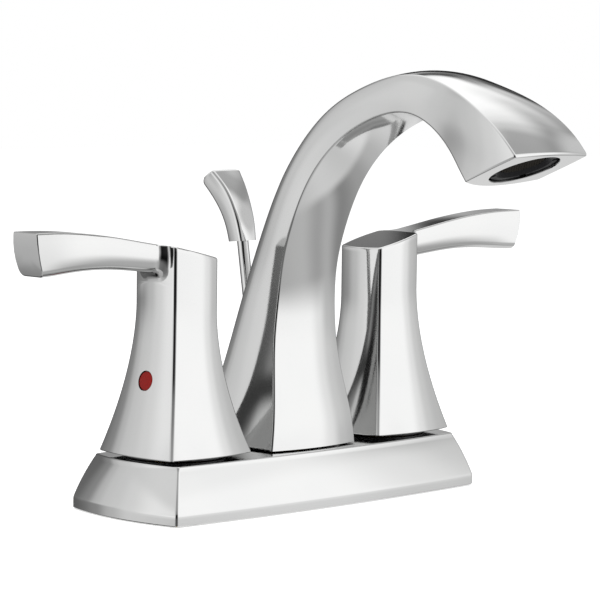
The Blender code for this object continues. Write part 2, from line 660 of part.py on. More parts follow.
def lever_ring(out, lean, side):
    # One upright section of the lever, wider where it meets the hub and rounded below
    face = HANDLE_NECK_HALF * (1 + HANDLE_BOW_SHARE)
    waist = LEVER_REACH * 0.70
    width = smooth_value([(face, LEVER_ROOT_HALF), (waist, LEVER_WAIST_HALF), (LEVER_REACH, LEVER_TIP_HALF)], out)
    depth = smooth_value([(face, LEVER_ROOT_DEPTH), (LEVER_REACH * 0.58, LEVER_WAIST_DEPTH),
                          (LEVER_REACH * 0.86, LEVER_TIP_DEPTH * 0.973), (LEVER_REACH, LEVER_TIP_DEPTH)], out)
    near = min(max((face + LEVER_FILLET - out) / LEVER_FILLET, 0.0), 1.0)
    flare = LEVER_FILLET * (1 - math.sqrt(1 - near * near)) * 0.8
    middle = -LEVER_SWEEP * max(out - face, 0.0) / (LEVER_REACH - face)
    top = lever_top(out)
    bottom = top - depth - flare
    wide = width + min(flare, HANDLE_NECK_HALF - width - FIT)
    corners = [Vector((0, middle - wide, top)), Vector((0, middle - wide, bottom)),
               Vector((0, middle + wide, bottom)), Vector((0, middle + wide, top))]
    bows = [Vector((0, -LEVER_BOW, 0)), Vector(), Vector((0, LEVER_BOW, 0)), Vector()]
    radii = [LEVER_TOP_ROUND, LEVER_LOWER_ROUND, LEVER_LOWER_ROUND, LEVER_TOP_ROUND]
    ring = bowed_ring(corners, bows, radii)
    points = []
    for p in ring:
        down = max((top - p.z) / (top - bottom), 0.0)
        points.append(Vector((side * (out - lean * LEVER_TIP_LEAN * down ** 2.2), p.y, p.z)))
    return points


def button_place(side):
    # The middle of the outer face at the button's height, and the face's tilt there
    step = 0.001
    low = handle_half(BUTTON_HEIGHT - step) + handle_bow(BUTTON_HEIGHT - step)
    high = handle_half(BUTTON_HEIGHT + step) + handle_bow(BUTTON_HEIGHT + step)
    tilt = math.atan2(low - high, 2 * step)
    out = (low + high) / 2
    return Vector((side * out, 0, HANDLE_BASE + BUTTON_HEIGHT)), (0, side * (math.pi / 2 - tilt), 0)


def make_handle(label, side, pivot):
    name = label + "_handle"
    levels = [0.0, 0.05, 0.12, 0.20, 0.28, 0.37, 0.46, 0.56, 0.66, 0.76]
    rings = [hub_ring(HANDLE_HEIGHT * level, 0.0, side) for level in levels]
    rings.append(hub_ring(HANDLE_HEIGHT - HANDLE_TOP_ROUND, 0.0, side))
    rings.append(hub_ring(HANDLE_HEIGHT, HANDLE_TOP_ROUND, side))
    handle = add_part(name, loft(name, rings), CHROME)
    place(handle, (0, 0, 0), parent=pivot)
    face = HANDLE_NECK_HALF * (1 + HANDLE_BOW_SHARE)
    outs = [0.6 * HANDLE_NECK_HALF, face]
    outs += [face + LEVER_FILLET * share for share in (0.15, 0.35, 0.6, 1.0)]
    run = LEVER_REACH - outs[-1]
    outs += [outs[-1] + run * share for share in (0.2, 0.4, 0.6, 0.78)]
    sections = [lever_ring(out, 0.0, side) for out in outs]
    sections += [lever_ring(LEVER_REACH - run * 0.10, 0.45, side), lever_ring(LEVER_REACH, 1.0, side)]
    lever = add_cutter(label + "_lever", loft(label + "_lever", sections))
    unite(handle, place(lever, (0, 0, 0), parent=pivot))
    cavity = [hub_ring(HANDLE_HEIGHT * level, HANDLE_WALL, 0) for level in (0.0, 0.12, 0.28)]
    cavity = [[p - Vector((0, 0, CUT_PAST)) for p in cavity[0]]] + cavity
    cavity.append(hub_ring(HANDLE_CAVITY_HEIGHT, HANDLE_WALL, 0))
    inside = add_cutter(label + "_handle_inside", loft("handle_inside", cavity))
    cut(handle, place(inside, (0, 0, 0), parent=pivot))
    socket = add_cutter(label + "_stem_socket", drum("stem_socket", STEM_RADIUS + FIT,
                                                     HANDLE_BASE + HANDLE_CAVITY_HEIGHT - 0.003, STEM_TOP + FIT, 20))
    cut(handle, place(socket, (0, 0, 0), parent=pivot))
    screw_hole = add_cutter(label + "_set_screw_hole", drum("set_screw_hole", SET_SCREW_RADIUS + FIT, 0.0,
                                                            HANDLE_FOOT_HALF, 12))
    cut(handle, place(screw_hole, (0, 0, HANDLE_BASE + SET_SCREW_HEIGHT), (-math.pi / 2, 0, 0), pivot))
    seat = add_cutter(label + "_button_seat", drum("button_seat", BUTTON_RADIUS + FIT,
                                                   -BUTTON_THICKNESS - FIT, CUT_PAST, 20))
    location, rotation = button_place(side)
    cut(handle, place(seat, location, rotation, pivot))
    return handle


def make_handle_fittings(label, side, pivot, enamel):
    location, rotation = button_place(side)
    name = label + "_index_button"
    button = turned(name, [(0.0, BUTTON_DOME), (BUTTON_RADIUS * 0.8, 0.0), (BUTTON_RADIUS, -FIT),
                           (BUTTON_RADIUS, -BUTTON_THICKNESS), (0.0, -BUTTON_THICKNESS)], 20, closed=False)
    place(add_part(name, button, enamel), location, rotation, pivot)
    name = label + "_set_screw"
    start = STEM_RADIUS + FIT
    end = handle_half(SET_SCREW_HEIGHT) + handle_bow(SET_SCREW_HEIGHT) - 0.0008
    screw = add_part(name, drum(name, SET_SCREW_RADIUS, start, end, 12), STEEL)
    level = HANDLE_BASE + SET_SCREW_HEIGHT
    place(screw, (0, 0, level), (-math.pi / 2, 0, 0), pivot)
    key = add_cutter(label + "_key_socket", prism("key_socket", SET_SCREW_RADIUS, end - 0.0015, end + 0.002))
    cut(screw, place(key, (0, 0, level), (-math.pi / 2, 0, 0), pivot))
    name = label + "_stem"
    profile = [(0.0, STEM_TOP), (STEM_RADIUS * 0.85, STEM_TOP), (STEM_RADIUS, STEM_TOP - STEM_RADIUS * 0.15),
               (STEM_RADIUS, STEM_SHOULDER), (DISC_RADIUS, STEM_SHOULDER), (DISC_RADIUS, STEM_BOTTOM),
               (0.0, STEM_BOTTOM)]
    place(add_part(name, turned(name, profile, closed=False), BRASS), (0, 0, 0), parent=pivot)
    name = label + "_moving_disc"
    disc = add_part(name, drum(name, DISC_RADIUS, MOVING_DISC_BOTTOM, MOVING_DISC_BOTTOM + DISC_HEIGHT), CERAMIC)
    place(disc, (0, 0, 0), parent=pivot)
    for turn, word in ((-1, "left"), (1, "right")):
        low = (turn * DISC_RADIUS * 0.25, -DISC_RADIUS * 0.35, MOVING_DISC_BOTTOM - 0.001)
        high = (turn * DISC_RADIUS * 1.2, DISC_RADIUS * 0.35, STEM_BOTTOM)
        relief = block("relief", [min(a, b) for a, b in zip(low, high)], [max(a, b) for a, b in zip(low, high)])
        cut(disc, place(add_cutter(label + "_" + word + "_relief", relief), (0, 0, 0), parent=pivot))


def spout_row(position):
    # The station values at a position along the rows, with shares turned into metres
    index = min(int(position), len(SPOUT_STATIONS) - 2)
    forward, up, *shares = smooth_row(SPOUT_STATIONS, index, position - index)
    middle = Vector((0, -forward * SPOUT_REACH, PLATE_HEIGHT + FIT + up * SPOUT_RISE))
    across, rise, *sizes = [share * SPOUT_FOOT_HALF for share in shares]
    to_edge = Vector((0, -across, rise))
    inner_half, inner_bow, outer_half, outer_bow, flank_bow = sizes
    return middle + to_edge, inner_half, inner_bow, middle - to_edge, outer_half, outer_bow, flank_bow


def spout_ring(position, inset=0.0):
    inner, inner_half, inner_bow, outer, outer_half, outer_bow, flank_bow = spout_row(position)
    across = (inner - outer).normalized()
    inner = inner - across * inset
    outer = outer + across * inset
    corners = [inner - Vector((inner_half - inset, 0, 0)), inner + Vector((inner_half - inset, 0, 0)),
               outer + Vector((outer_half - inset, 0, 0)), outer - Vector((outer_half - inset, 0, 0))]
    bows = [across * inner_bow, Vector((flank_bow, 0, 0)), -across * outer_bow, Vector((-flank_bow, 0, 0))]
    return bowed_ring(corners, bows, [SPOUT_EDGE_RADIUS] * 4)


def spout_middle(position):
    values = spout_row(position)
    return (values[0] + values[3]) / 2


def tube_between(name, points, radius):
    curve = bpy.data.curves.new(name, "CURVE")
    curve.dimensions = "3D"
    curve.bevel_depth = radius
    curve.bevel_resolution = 3
    curve.use_fill_caps = True
    spline = curve.splines.new("POLY")
    spline.points.add(len(points) - 1)
    for target, point in zip(spline.points, points):
        target.co = (*point, 1.0)
    tube = bpy.data.objects.new(name, curve)
    CUTTERS.objects.link(tube)
    mesh = bpy.data.meshes.new_from_object(tube.evaluated_get(bpy.context.evaluated_depsgraph_get()))
    bpy.data.objects.remove(tube, do_unlink=True)
    bm = bmesh.new()
    bm.from_mesh(mesh)
    bmesh.ops.remove_doubles(bm, verts=bm.verts, dist=0.00001)
    return mesh_from(bm, name)


def outlet_frame():
    # The aerator's centre, a little inside the outlet face, and the way out of it
    out = Vector((0, -math.sin(OUTLET_TILT), -math.cos(OUTLET_TILT)))
    return OUTLET_CENTRE - out * AERATOR_INSET, out


def outlet_rings(rim):
    # The outlet face: a rounded lip inside the nose's rim, then flat round the aerator
    centre = OUTLET_CENTRE
    rings = []
    for share, rise in ((0.985, 0.4), (0.96, 0.0), (0.60, 0.0)):
        ring = []
        for point in rim:
            lift = point.z - centre.z + (point.y - centre.y) * math.tan(OUTLET_TILT)
            flat = centre.lerp(point - Vector((0, 0, lift)), share)
            ring.append(flat + Vector((0, 0, lift * rise)))
        rings.append(ring)
    return rings


def make_spout():
    last = len(SPOUT_STATIONS) - 1
    steps = 2
    positions = [i / steps for i in range(last * steps + 1)]
    rings = [spout_ring(position) for position in positions]
    rings += outlet_rings(rings[-1])
    spout = add_part("spout", loft("spout", rings), CHROME, math.radians(30))
    floor = PLATE_HEIGHT + FIT
    share = SPOUT_CAVITY_HEIGHT / SPOUT_RISE
    top_position = 2.0 * share / (SPOUT_STATIONS[1][1] + SPOUT_STATIONS[2][1]) * 1.5
    below = [p - Vector((0, 0, CUT_PAST)) for p in spout_ring(0.0, SPOUT_WALL)]
    rings = [below, spout_ring(0.0, SPOUT_WALL), spout_ring(top_position / 2, SPOUT_WALL),
             spout_ring(top_position, SPOUT_WALL)]
    cut(spout, add_cutter("spout_inside", loft("spout_inside", rings)))
    bushing_hole = add_cutter("bushing_hole", drum("bushing_hole", ROD_RADIUS + 2 * FIT + BUSHING_WALL,
                                                   -BUSHING_LENGTH / 4, 2 * BUSHING_LENGTH, 16))
    cut(spout, place(bushing_hole, rod_place(floor + SPOUT_CAVITY_HEIGHT), (-ROD_LEAN, 0, 0)))
    socket_top = floor + SPOUT_CAVITY_HEIGHT + SPOUT_SOCKET_DEPTH
    socket = add_cutter("nipple_socket", drum("nipple_socket", NIPPLE_RADIUS + FIT,
                                                   floor + SPOUT_CAVITY_HEIGHT / 2, socket_top))
    cut(spout, place(socket, (0, -NIPPLE_FORWARD, 0)))
    start = Vector((0, -NIPPLE_FORWARD, socket_top - SPOUT_SOCKET_DEPTH / 4))
    path = [start, start + Vector((0, 0, WATERWAY_START))]
    path += [spout_middle(i / 2) for i in range(7, 2 * last)]
    cut(spout, add_cutter("waterway", tube_between("waterway", path, WATERWAY_RADIUS)))
    centre, _ = outlet_frame()
    recess_depth = AERATOR_RIM_HEIGHT + FIT
    profile = [(0.0, recess_depth + AERATOR_BODY_HEIGHT + AERATOR_WASHER_HEIGHT + 2 * FIT),
               (AERATOR_BODY_RADIUS + FIT, recess_depth + AERATOR_BODY_HEIGHT + AERATOR_WASHER_HEIGHT + 2 * FIT),
               (AERATOR_BODY_RADIUS + FIT, recess_depth), (AERATOR_RIM_RADIUS + FIT, recess_depth),
               (AERATOR_RIM_RADIUS + FIT, -CUT_PAST), (0.0, -CUT_PAST)]
    recess = add_cutter("aerator_recess", turned("aerator_recess", profile, FINE_SIDES, closed=False))
    cut(spout, place(recess, centre, (-OUTLET_TILT, 0, 0)))
    for side, label in ((-1, "left"), (1, "right")):
        boss = add_cutter(label + "_screw_boss", drum("screw_boss", SPOUT_SCREW_RADIUS + SPOUT_WALL,
                                                      floor + FIT, floor + SPOUT_CAVITY_HEIGHT + SPOUT_WALL, 12))
        unite(spout, place(boss, (side * SPOUT_SCREW_SIDE, -SPOUT_SCREW_FORWARD, 0)))
        hole = add_cutter(label + "_screw_bore", drum("screw_bore", SPOUT_SCREW_RADIUS + FIT, floor - CUT_PAST,
                                                      floor + SPOUT_SCREW_GRIP, 12))
        cut(spout, place(hole, (side * SPOUT_SCREW_SIDE, -SPOUT_SCREW_FORWARD, 0)))
    return spout


def make_spout_fittings():
    nipple_bottom = CENTRE_TOP - CENTRE_SOCKET + FIT
    nipple_top = PLATE_HEIGHT + SPOUT_CAVITY_HEIGHT + SPOUT_SOCKET_DEPTH - FIT
    groove_level = nipple_top - NIPPLE_SEAL_DROP
    groove = NIPPLE_RADIUS - 2 * NIPPLE_SEAL_RADIUS - FIT
    profile = [(NIPPLE_RADIUS, nipple_top), (NIPPLE_RADIUS, groove_level + NIPPLE_SEAL_RADIUS + FIT),
               (groove, groove_level + NIPPLE_SEAL_RADIUS + FIT), (groove, groove_level - NIPPLE_SEAL_RADIUS - FIT),
               (NIPPLE_RADIUS, groove_level - NIPPLE_SEAL_RADIUS - FIT), (NIPPLE_RADIUS, nipple_bottom),
               (NIPPLE_BORE, nipple_bottom), (NIPPLE_BORE, nipple_top)]
    place(add_part("spout_nipple", turned("spout_nipple", profile), BRASS), (0, -NIPPLE_FORWARD, 0))
    seal = turned("spout_seal", ring_profile(NIPPLE_RADIUS - NIPPLE_SEAL_RADIUS, NIPPLE_SEAL_RADIUS,
                                             groove_level, 6), 20)
    place(add_part("spout_seal", seal, RUBBER), (0, -NIPPLE_FORWARD, 0))
    head_top = PLATE_CEILING - FIT
    for side, label in ((-1, "left"), (1, "right")):
        name = label + "_spout_screw"
        tip = PLATE_HEIGHT + SPOUT_SCREW_GRIP - FIT
        profile = [(0.0, tip), (SPOUT_SCREW_RADIUS, tip), (SPOUT_SCREW_RADIUS, head_top),
                   (SPOUT_SCREW_HEAD, head_top), (SPOUT_SCREW_HEAD, head_top - 0.0022), (0.0, head_top - 0.0030)]
        screw = add_part(name, turned(name, profile, 16, closed=False), STEEL)
        place(screw, (side * SPOUT_SCREW_SIDE, -SPOUT_SCREW_FORWARD, 0))


def make_centre_body():
    low = (-CENTRE_HALF, -CENTRE_FRONT, CENTRE_BOTTOM)
    high = (CENTRE_HALF, CENTRE_BACK, CENTRE_TOP)
    body = add_part("centre_body", block("centre_body", low, high), BRASS)
    socket = add_cutter("centre_socket", drum("centre_socket", NIPPLE_RADIUS + FIT, CENTRE_TOP - CENTRE_SOCKET,
                                              CENTRE_TOP + CUT_PAST))
    cut(body, place(socket, (0, -NIPPLE_FORWARD, 0)))
    riser = add_cutter("centre_riser", drum("centre_riser", NIPPLE_BORE, TUBE_LEVEL,
                                            CENTRE_TOP - CENTRE_SOCKET + 0.001, 16))
    cut(body, place(riser, (0, -NIPPLE_FORWARD, 0)))
    cross = add_cutter("centre_cross", drum("centre_cross", TUBE_RADIUS + FIT, -CENTRE_HALF - CUT_PAST,
                                            CENTRE_HALF + CUT_PAST, 16))
    cut(body, place(cross, (0, -TUBE_FORWARD, TUBE_LEVEL), (0, math.pi / 2, 0)))


def make_cross_tube(label, side):
    name = label + "_cross_tube"
    start = CENTRE_HALF - TUBE_ENTRY
    end = VALVE_OUT - VALVE_BORE - FIT - TUBE_STOP
    profile = tube_profile(TUBE_RADIUS, TUBE_RADIUS - TUBE_WALL, start, end)
    tube = add_part(name, turned(name, profile, 16), COPPER)
    place(tube, (0, -TUBE_FORWARD, TUBE_LEVEL), (0, side * math.pi / 2, 0))


def make_aerator():
    centre, _ = outlet_frame()
    body_top = AERATOR_RIM_HEIGHT + AERATOR_BODY_HEIGHT
    profile = [(AERATOR_BODY_RADIUS, body_top), (AERATOR_BODY_RADIUS, AERATOR_RIM_HEIGHT),
               (AERATOR_RIM_RADIUS, AERATOR_RIM_HEIGHT), (AERATOR_RIM_RADIUS, 0.0),
               (AERATOR_BODY_RADIUS, 0.0), (AERATOR_BODY_RADIUS - AERATOR_WALL, AERATOR_WALL),
               (AERATOR_BODY_RADIUS - AERATOR_WALL, body_top)]
    housing = add_part("aerator_housing", turned("aerator_housing", profile, FINE_SIDES), DARK_PLASTIC)
    place(housing, centre, (-OUTLET_TILT, 0, 0))
    for index in range(4):
        angle = math.radians(45) + index * math.pi / 2
        low = (AERATOR_BODY_RADIUS + AERATOR_NOTCH_WALL, -AERATOR_NOTCH / 2, -CUT_PAST)
        high = (AERATOR_RIM_RADIUS + CUT_PAST, AERATOR_NOTCH / 2, AERATOR_RIM_HEIGHT * 0.6)
        notch = add_cutter("key_notch_" + str(index + 1), block("key_notch", low, high))
        notch.matrix_world = (Matrix.Translation(centre) @ Matrix.Rotation(-OUTLET_TILT, 4, "X")
                              @ Matrix.Rotation(angle, 4, "Z"))
        cut(housing, notch)
    washer = turned("aerator_washer", tube_profile(AERATOR_BODY_RADIUS - FIT, AERATOR_BODY_RADIUS - 0.003,
                                                   body_top + FIT, body_top + FIT + AERATOR_WASHER_HEIGHT))
    place(add_part("aerator_washer", washer, RUBBER), centre, (-OUTLET_TILT, 0, 0))
    screen_radius = AERATOR_BODY_RADIUS - AERATOR_WALL - FIT
    screen = add_part("aerator_screen", drum("aerator_screen", screen_radius, AERATOR_RIM_HEIGHT,
                                             AERATOR_RIM_HEIGHT + SCREEN_THICKNESS), STEEL)
    place(screen, centre, (-OUTLET_TILT, 0, 0))
    bm = bmesh.new()
    reach = int(screen_radius / SCREEN_PITCH)
    for row in range(-reach, reach + 1):
        for column in range(-reach, reach + 1):
            across = (column + (row % 2) / 2) * SCREEN_PITCH
            up = row * SCREEN_PITCH * math.sqrt(3) / 2
            if math.hypot(across, up) > screen_radius - SCREEN_HOLE * 1.4:
                continue
            bmesh.ops.create_cone(bm, cap_ends=True, segments=6, radius1=SCREEN_HOLE, radius2=SCREEN_HOLE,
                                  depth=0.01, matrix=Matrix.Translation((across, up, AERATOR_RIM_HEIGHT)))
    holes = add_cutter("screen_holes", mesh_from(bm, "screen_holes"))
    cut(screen, place(holes, centre, (-OUTLET_TILT, 0, 0)))


def make_lift_rod():
    slide = bpy.data.objects.new("lift_rod_axis", None)
    PARTS.objects.link(slide)
    place(slide, ROD_POINT, (-ROD_LEAN, 0, 0))
    bottom = -(ROD_POINT.z + ROD_BELOW_DECK) / math.cos(ROD_LEAN)
    profile = [(0.0, ROD_IN_KNOB), (ROD_RADIUS * 0.7, ROD_IN_KNOB), (ROD_RADIUS, ROD_IN_KNOB - ROD_RADIUS * 0.3),
               (ROD_RADIUS, bottom), (0.0, bottom)]
    place(add_part("lift_rod", turned("lift_rod", profile, 16, closed=False), CHROME), (0, 0, 0), parent=slide)
    rings = []
    segments = (len(KNOB_STATIONS) - 1) * 2
    for step in range(segments + 1):
        position = step / 2
        index = min(int(position), len(KNOB_STATIONS) - 2)
        values = smooth_row(KNOB_STATIONS, index, position - index)
        front = Vector((0, values[0] * KNOB_HEIGHT, values[1] * KNOB_HEIGHT)) + ROD_POINT
        back = Vector((0, values[2] * KNOB_HEIGHT, values[3] * KNOB_HEIGHT)) + ROD_POINT
        half = KNOB_FOOT_HALF + (KNOB_TOP_HALF - KNOB_FOOT_HALF) * values[4]
        across = (front - back).normalized()
        corners = [front - Vector((half, 0, 0)), front + Vector((half, 0, 0)),
                   back + Vector((half, 0, 0)), back - Vector((half, 0, 0))]
        bows = [across * KNOB_BOW, Vector((KNOB_BOW, 0, 0)), -across * 2 * KNOB_BOW, Vector((-KNOB_BOW, 0, 0))]
        rings.append(bowed_ring(corners, bows, [KNOB_EDGE_RADIUS] * 4, side_steps=2))
    along = (rings[-1][0] - rings[-2][0]).normalized()
    centre = sum(rings[-1], Vector()) / len(rings[-1])
    end = rings[-1]
    for narrow, share, rise in ((0.98, 0.84, 0.6), (0.85, 0.50, 1.0)):
        dome = [centre.lerp(point, share) + along * KNOB_DOME * rise for point in end]
        rings.append([Vector((point.x * narrow, p.y, p.z)) for point, p in zip(end, dome)])
    to_axis = (Matrix.Translation(ROD_POINT) @ Matrix.Rotation(-ROD_LEAN, 4, "X")).inverted()
    rings = [[to_axis @ point for point in ring] for ring in rings]
    knob = add_part("lift_knob", loft("lift_knob", rings), CHROME)
    place(knob, (0, 0, 0), parent=slide)
    hole = add_cutter("knob_hole", drum("knob_hole", ROD_RADIUS + FIT, -CUT_PAST,
                                           ROD_IN_KNOB + FIT, 16))
    cut(knob, place(hole, (0, 0, 0), parent=slide))


def make_rod_bushing():
    inner = ROD_RADIUS + FIT
    outer = inner + BUSHING_WALL
    bushing = turned("rod_bushing", tube_profile(outer, inner, 0.0, BUSHING_LENGTH), 16)
    place(add_part("rod_bushing", bushing, DARK_PLASTIC),
          rod_place(PLATE_HEIGHT + SPOUT_CAVITY_HEIGHT - 0.002), (-ROD_LEAN, 0, 0))


def handle_pivot(label, side):
    pivot = bpy.data.objects.new(label + "_handle_axis", None)
    PARTS.objects.link(pivot)
    place(pivot, (side * VALVE_OUT, 0, 0))
    return pivot


make_base_gasket()
make_deck_plate()
for valve_side, valve_label, valve_enamel in ((-1, "hot", RED_ENAMEL), (1, "cold", BLUE_ENAMEL)):
    make_valve_body(valve_label, valve_side)
    make_under_deck(valve_label, valve_side)
    make_plate_nut(valve_label, valve_side)
    make_glide_ring(valve_label, valve_side)
    make_bonnet_nut(valve_label, valve_side)
    make_cartridge(valve_label, valve_side)
    make_cross_tube(valve_label, valve_side)
    valve_pivot = handle_pivot(valve_label, valve_side)
    make_handle(valve_label, valve_side, valve_pivot)
    make_handle_fittings(valve_label, valve_side, valve_pivot, valve_enamel)
make_centre_body()
make_spout()
make_spout_fittings()
make_aerator()
make_lift_rod()
make_rod_bushing()
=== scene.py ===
import math

import bmesh
import bpy
import numpy as np
from mathutils import Matrix, Vector


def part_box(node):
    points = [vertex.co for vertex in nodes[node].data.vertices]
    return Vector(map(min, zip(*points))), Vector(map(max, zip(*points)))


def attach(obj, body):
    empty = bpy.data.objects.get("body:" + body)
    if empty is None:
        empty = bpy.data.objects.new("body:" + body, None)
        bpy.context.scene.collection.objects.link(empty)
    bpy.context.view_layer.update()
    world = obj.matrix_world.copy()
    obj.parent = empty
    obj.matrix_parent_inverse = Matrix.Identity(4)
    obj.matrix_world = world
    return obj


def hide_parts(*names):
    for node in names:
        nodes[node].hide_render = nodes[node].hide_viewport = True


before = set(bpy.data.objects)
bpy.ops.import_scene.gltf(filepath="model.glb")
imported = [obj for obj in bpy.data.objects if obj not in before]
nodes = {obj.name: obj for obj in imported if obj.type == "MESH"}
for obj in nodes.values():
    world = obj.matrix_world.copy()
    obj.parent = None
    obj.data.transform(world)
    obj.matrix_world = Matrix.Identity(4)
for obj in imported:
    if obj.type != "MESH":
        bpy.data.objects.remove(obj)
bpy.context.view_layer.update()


# Seat of the faucet: a rubber gasket under its plate, and for each valve a turned brass
# body with a threaded shank, held below the sink deck by a pressed steel washer and a
# moulded nut. These are the CAD solids, whose finishes drift a little in colour and gloss.
GRAIN_DETAIL = 4.0
GRAIN_RELIEF = 0.0001


def finish(name, colour, metallic, roughness, drift, grain, bump):
    made = bpy.data.materials.new(name)
    made.use_nodes = True
    tree = made.node_tree
    shader = tree.nodes["Principled BSDF"]
    shader.inputs["Metallic"].default_value = metallic
    place = tree.nodes.new("ShaderNodeTexCoord")
    cloud = tree.nodes.new("ShaderNodeTexNoise")
    cloud.inputs["Scale"].default_value = grain
    cloud.inputs["Detail"].default_value = GRAIN_DETAIL
    tree.links.new(place.outputs["Object"], cloud.inputs["Vector"])
    tint = tree.nodes.new("ShaderNodeMix")
    tint.data_type = "RGBA"
    tint.inputs["A"].default_value = (*[channel * (1 - drift) for channel in colour], 1.0)
    tint.inputs["B"].default_value = (*[min(channel * (1 + drift), 1.0) for channel in colour], 1.0)
    tree.links.new(cloud.outputs["Fac"], tint.inputs["Factor"])
    tree.links.new(tint.outputs["Result"], shader.inputs["Base Color"])
    gloss = tree.nodes.new("ShaderNodeMapRange")
    gloss.inputs["To Min"].default_value = roughness * (1 - 2 * drift)
    gloss.inputs["To Max"].default_value = roughness * (1 + 2 * drift)
    tree.links.new(cloud.outputs["Fac"], gloss.inputs["Value"])
    tree.links.new(gloss.outputs["Result"], shader.inputs["Roughness"])
    relief = tree.nodes.new("ShaderNodeBump")
    relief.inputs["Strength"].default_value = bump
    relief.inputs["Distance"].default_value = GRAIN_RELIEF
    tree.links.new(cloud.outputs["Fac"], relief.inputs["Height"])
    tree.links.new(relief.outputs["Normal"], shader.inputs["Normal"])
    return made


def give(material, *names):
    for name in names:
        nodes[name].data.materials.clear()
        nodes[name].data.materials.append(material)


def on_both_sides(*words):
    return [side + "_" + word for side in ("hot", "cold") for word in words]


machined_brass = finish("machined_brass", (0.78, 0.57, 0.27), 1.0, 0.30, 0.06, 900.0, 0.15)
black_rubber = finish("black_rubber", (0.03, 0.03, 0.03), 0.0, 0.72, 0.12, 2500.0, 0.35)
plain_steel = finish("plain_steel", (0.56, 0.57, 0.58), 1.0, 0.28, 0.06, 1400.0, 0.15)
pale_plastic = finish("pale_plastic", (0.72, 0.72, 0.70), 0.0, 0.5, 0.03, 1800.0, 0.2)
give(black_rubber, "base_gasket")
give(machined_brass, *on_both_sides("valve_body"))
give(plain_steel, *on_both_sides("mounting_washer"))
give(pale_plastic, *on_both_sides("mounting_nut"))


# Inside the faucet: the tee and its copper tubes, and in each valve a plastic cartridge
# with two lapped ceramic discs, a brass stem, rubber seals and the nuts that hold it all.
drawn_copper = finish("drawn_copper", (0.72, 0.38, 0.24), 1.0, 0.35, 0.07, 700.0, 0.15)
lapped_ceramic = finish("lapped_ceramic", (0.88, 0.87, 0.84), 0.0, 0.22, 0.02, 3000.0, 0.1)
dark_plastic = finish("dark_plastic", (0.03, 0.03, 0.035), 0.0, 0.42, 0.10, 1800.0, 0.2)
give(machined_brass, "centre_body", "spout_nipple", *on_both_sides("bonnet_nut", "plate_nut", "stem"))
give(drawn_copper, *on_both_sides("cross_tube"))
give(lapped_ceramic, *on_both_sides("fixed_disc", "moving_disc"))
give(black_rubber, "spout_seal", "aerator_washer", *on_both_sides("seat_seal", "stem_seal"))
give(dark_plastic, "rod_bushing", *on_both_sides("cartridge_body", "glide_ring"))
give(plain_steel, "left_spout_screw", "right_spout_screw", *on_both_sides("set_screw"))


# Deck plate: one hollow cover of chromed brass with a low upright lip, sloped sides that
# swell slightly, and bowed edges. It sits on the gasket, held down by the two plate nuts.
CHROME_SHARE = 0.60
CHROME_TINTS = ((0.975, 0.98, 0.98), (1.02, 1.02, 1.01))
CHROME_HAZE = 60.0
CHROME_SMOOTH = 0.05
CHROME_HAZY = 0.10
CORNER_STEPS = 6
CORNER_PULL = 0.39


def polished_chrome(name):
    made = bpy.data.materials.new(name)
    made.use_nodes = True
    tree = made.node_tree
    shader = tree.nodes["Principled BSDF"]
    shader.inputs["Metallic"].default_value = 1.0
    place = tree.nodes.new("ShaderNodeTexCoord")
    haze = tree.nodes.new("ShaderNodeTexNoise")
    haze.inputs["Scale"].default_value = CHROME_HAZE
    haze.inputs["Detail"].default_value = 3.0
    tree.links.new(place.outputs["Object"], haze.inputs["Vector"])
    tint = tree.nodes.new("ShaderNodeMix")
    tint.data_type = "RGBA"
    for end, shade in zip("AB", CHROME_TINTS):
        tint.inputs[end].default_value = (*[CHROME_SHARE * channel for channel in shade], 1.0)
    tree.links.new(haze.outputs["Fac"], tint.inputs["Factor"])
    tree.links.new(tint.outputs["Result"], shader.inputs["Base Color"])
    gloss = tree.nodes.new("ShaderNodeMapRange")
    gloss.inputs["To Min"].default_value = CHROME_SMOOTH
    gloss.inputs["To Max"].default_value = CHROME_HAZY
    tree.links.new(haze.outputs["Fac"], gloss.inputs["Value"])
    tree.links.new(gloss.outputs["Result"], shader.inputs["Roughness"])
    return made


def bowed_outline(corners, bows, radius, cuts, tight=0.00012, skews=(0, 0, 0, 0)):
    # Four bowed sides joined by round corners, with a close point at each end of a side.
    # A skewed side bends more at one of its ends.
    sides = []
    for index, bow in enumerate(bows):
        start, end = corners[index], corners[(index + 1) % 4]
        length = (end - start).length
        first, last = radius / length, 1 - radius / length
        shares = [first] + list(np.linspace(first + tight / length, last - tight / length, cuts + 1)) + [last]
        skew = skews[index]
        sides.append([(start.lerp(end, share) + bow * 4 * share * (1 - share) * (1 + skew * (1 - 2 * share)),
                       (end - start + bow * (4 * (1 - 2 * share) * (1 + skew * (1 - 2 * share))
                                             - 8 * skew * share * (1 - share))).normalized())
                      for share in shares])
    outline = []
    for side, following in zip(sides, sides[1:] + sides[:1]):
        outline += [point for point, _ in side]
        (start, leaving), (end, arriving) = side[-1], following[0]
        pull = (end - start).length * CORNER_PULL
        for step in range(1, CORNER_STEPS):
            share = step / CORNER_STEPS
            rest = 1 - share
            outline.append(start * rest ** 3 + (start + leaving * pull) * 3 * rest ** 2 * share
                           + (end - arriving * pull) * 3 * rest * share ** 2 + end * share ** 3)
    return outline


def first_ring(bm, outline):
    ring = [bm.verts.new(point) for point in outline]
    for index, corner in enumerate(ring):
        bm.edges.new((ring[index - 1], corner))
    return ring


def draw_on(bm, ring, outline):
    # Extrudes an open end and settles it on the next outline
    edges = [bm.edges.get((ring[index - 1], corner)) for index, corner in enumerate(ring)]
    made = bmesh.ops.extrude_edge_only(bm, edges=edges)["geom"]
    fresh = {thing for thing in made if isinstance(thing, bmesh.types.BMVert)}
    grown = []
    for corner, point in zip(ring, outline):
        new = next(vert for vert in (edge.other_vert(corner) for edge in corner.link_edges) if vert in fresh)
        new.co = point
        grown.append(new)
    return grown


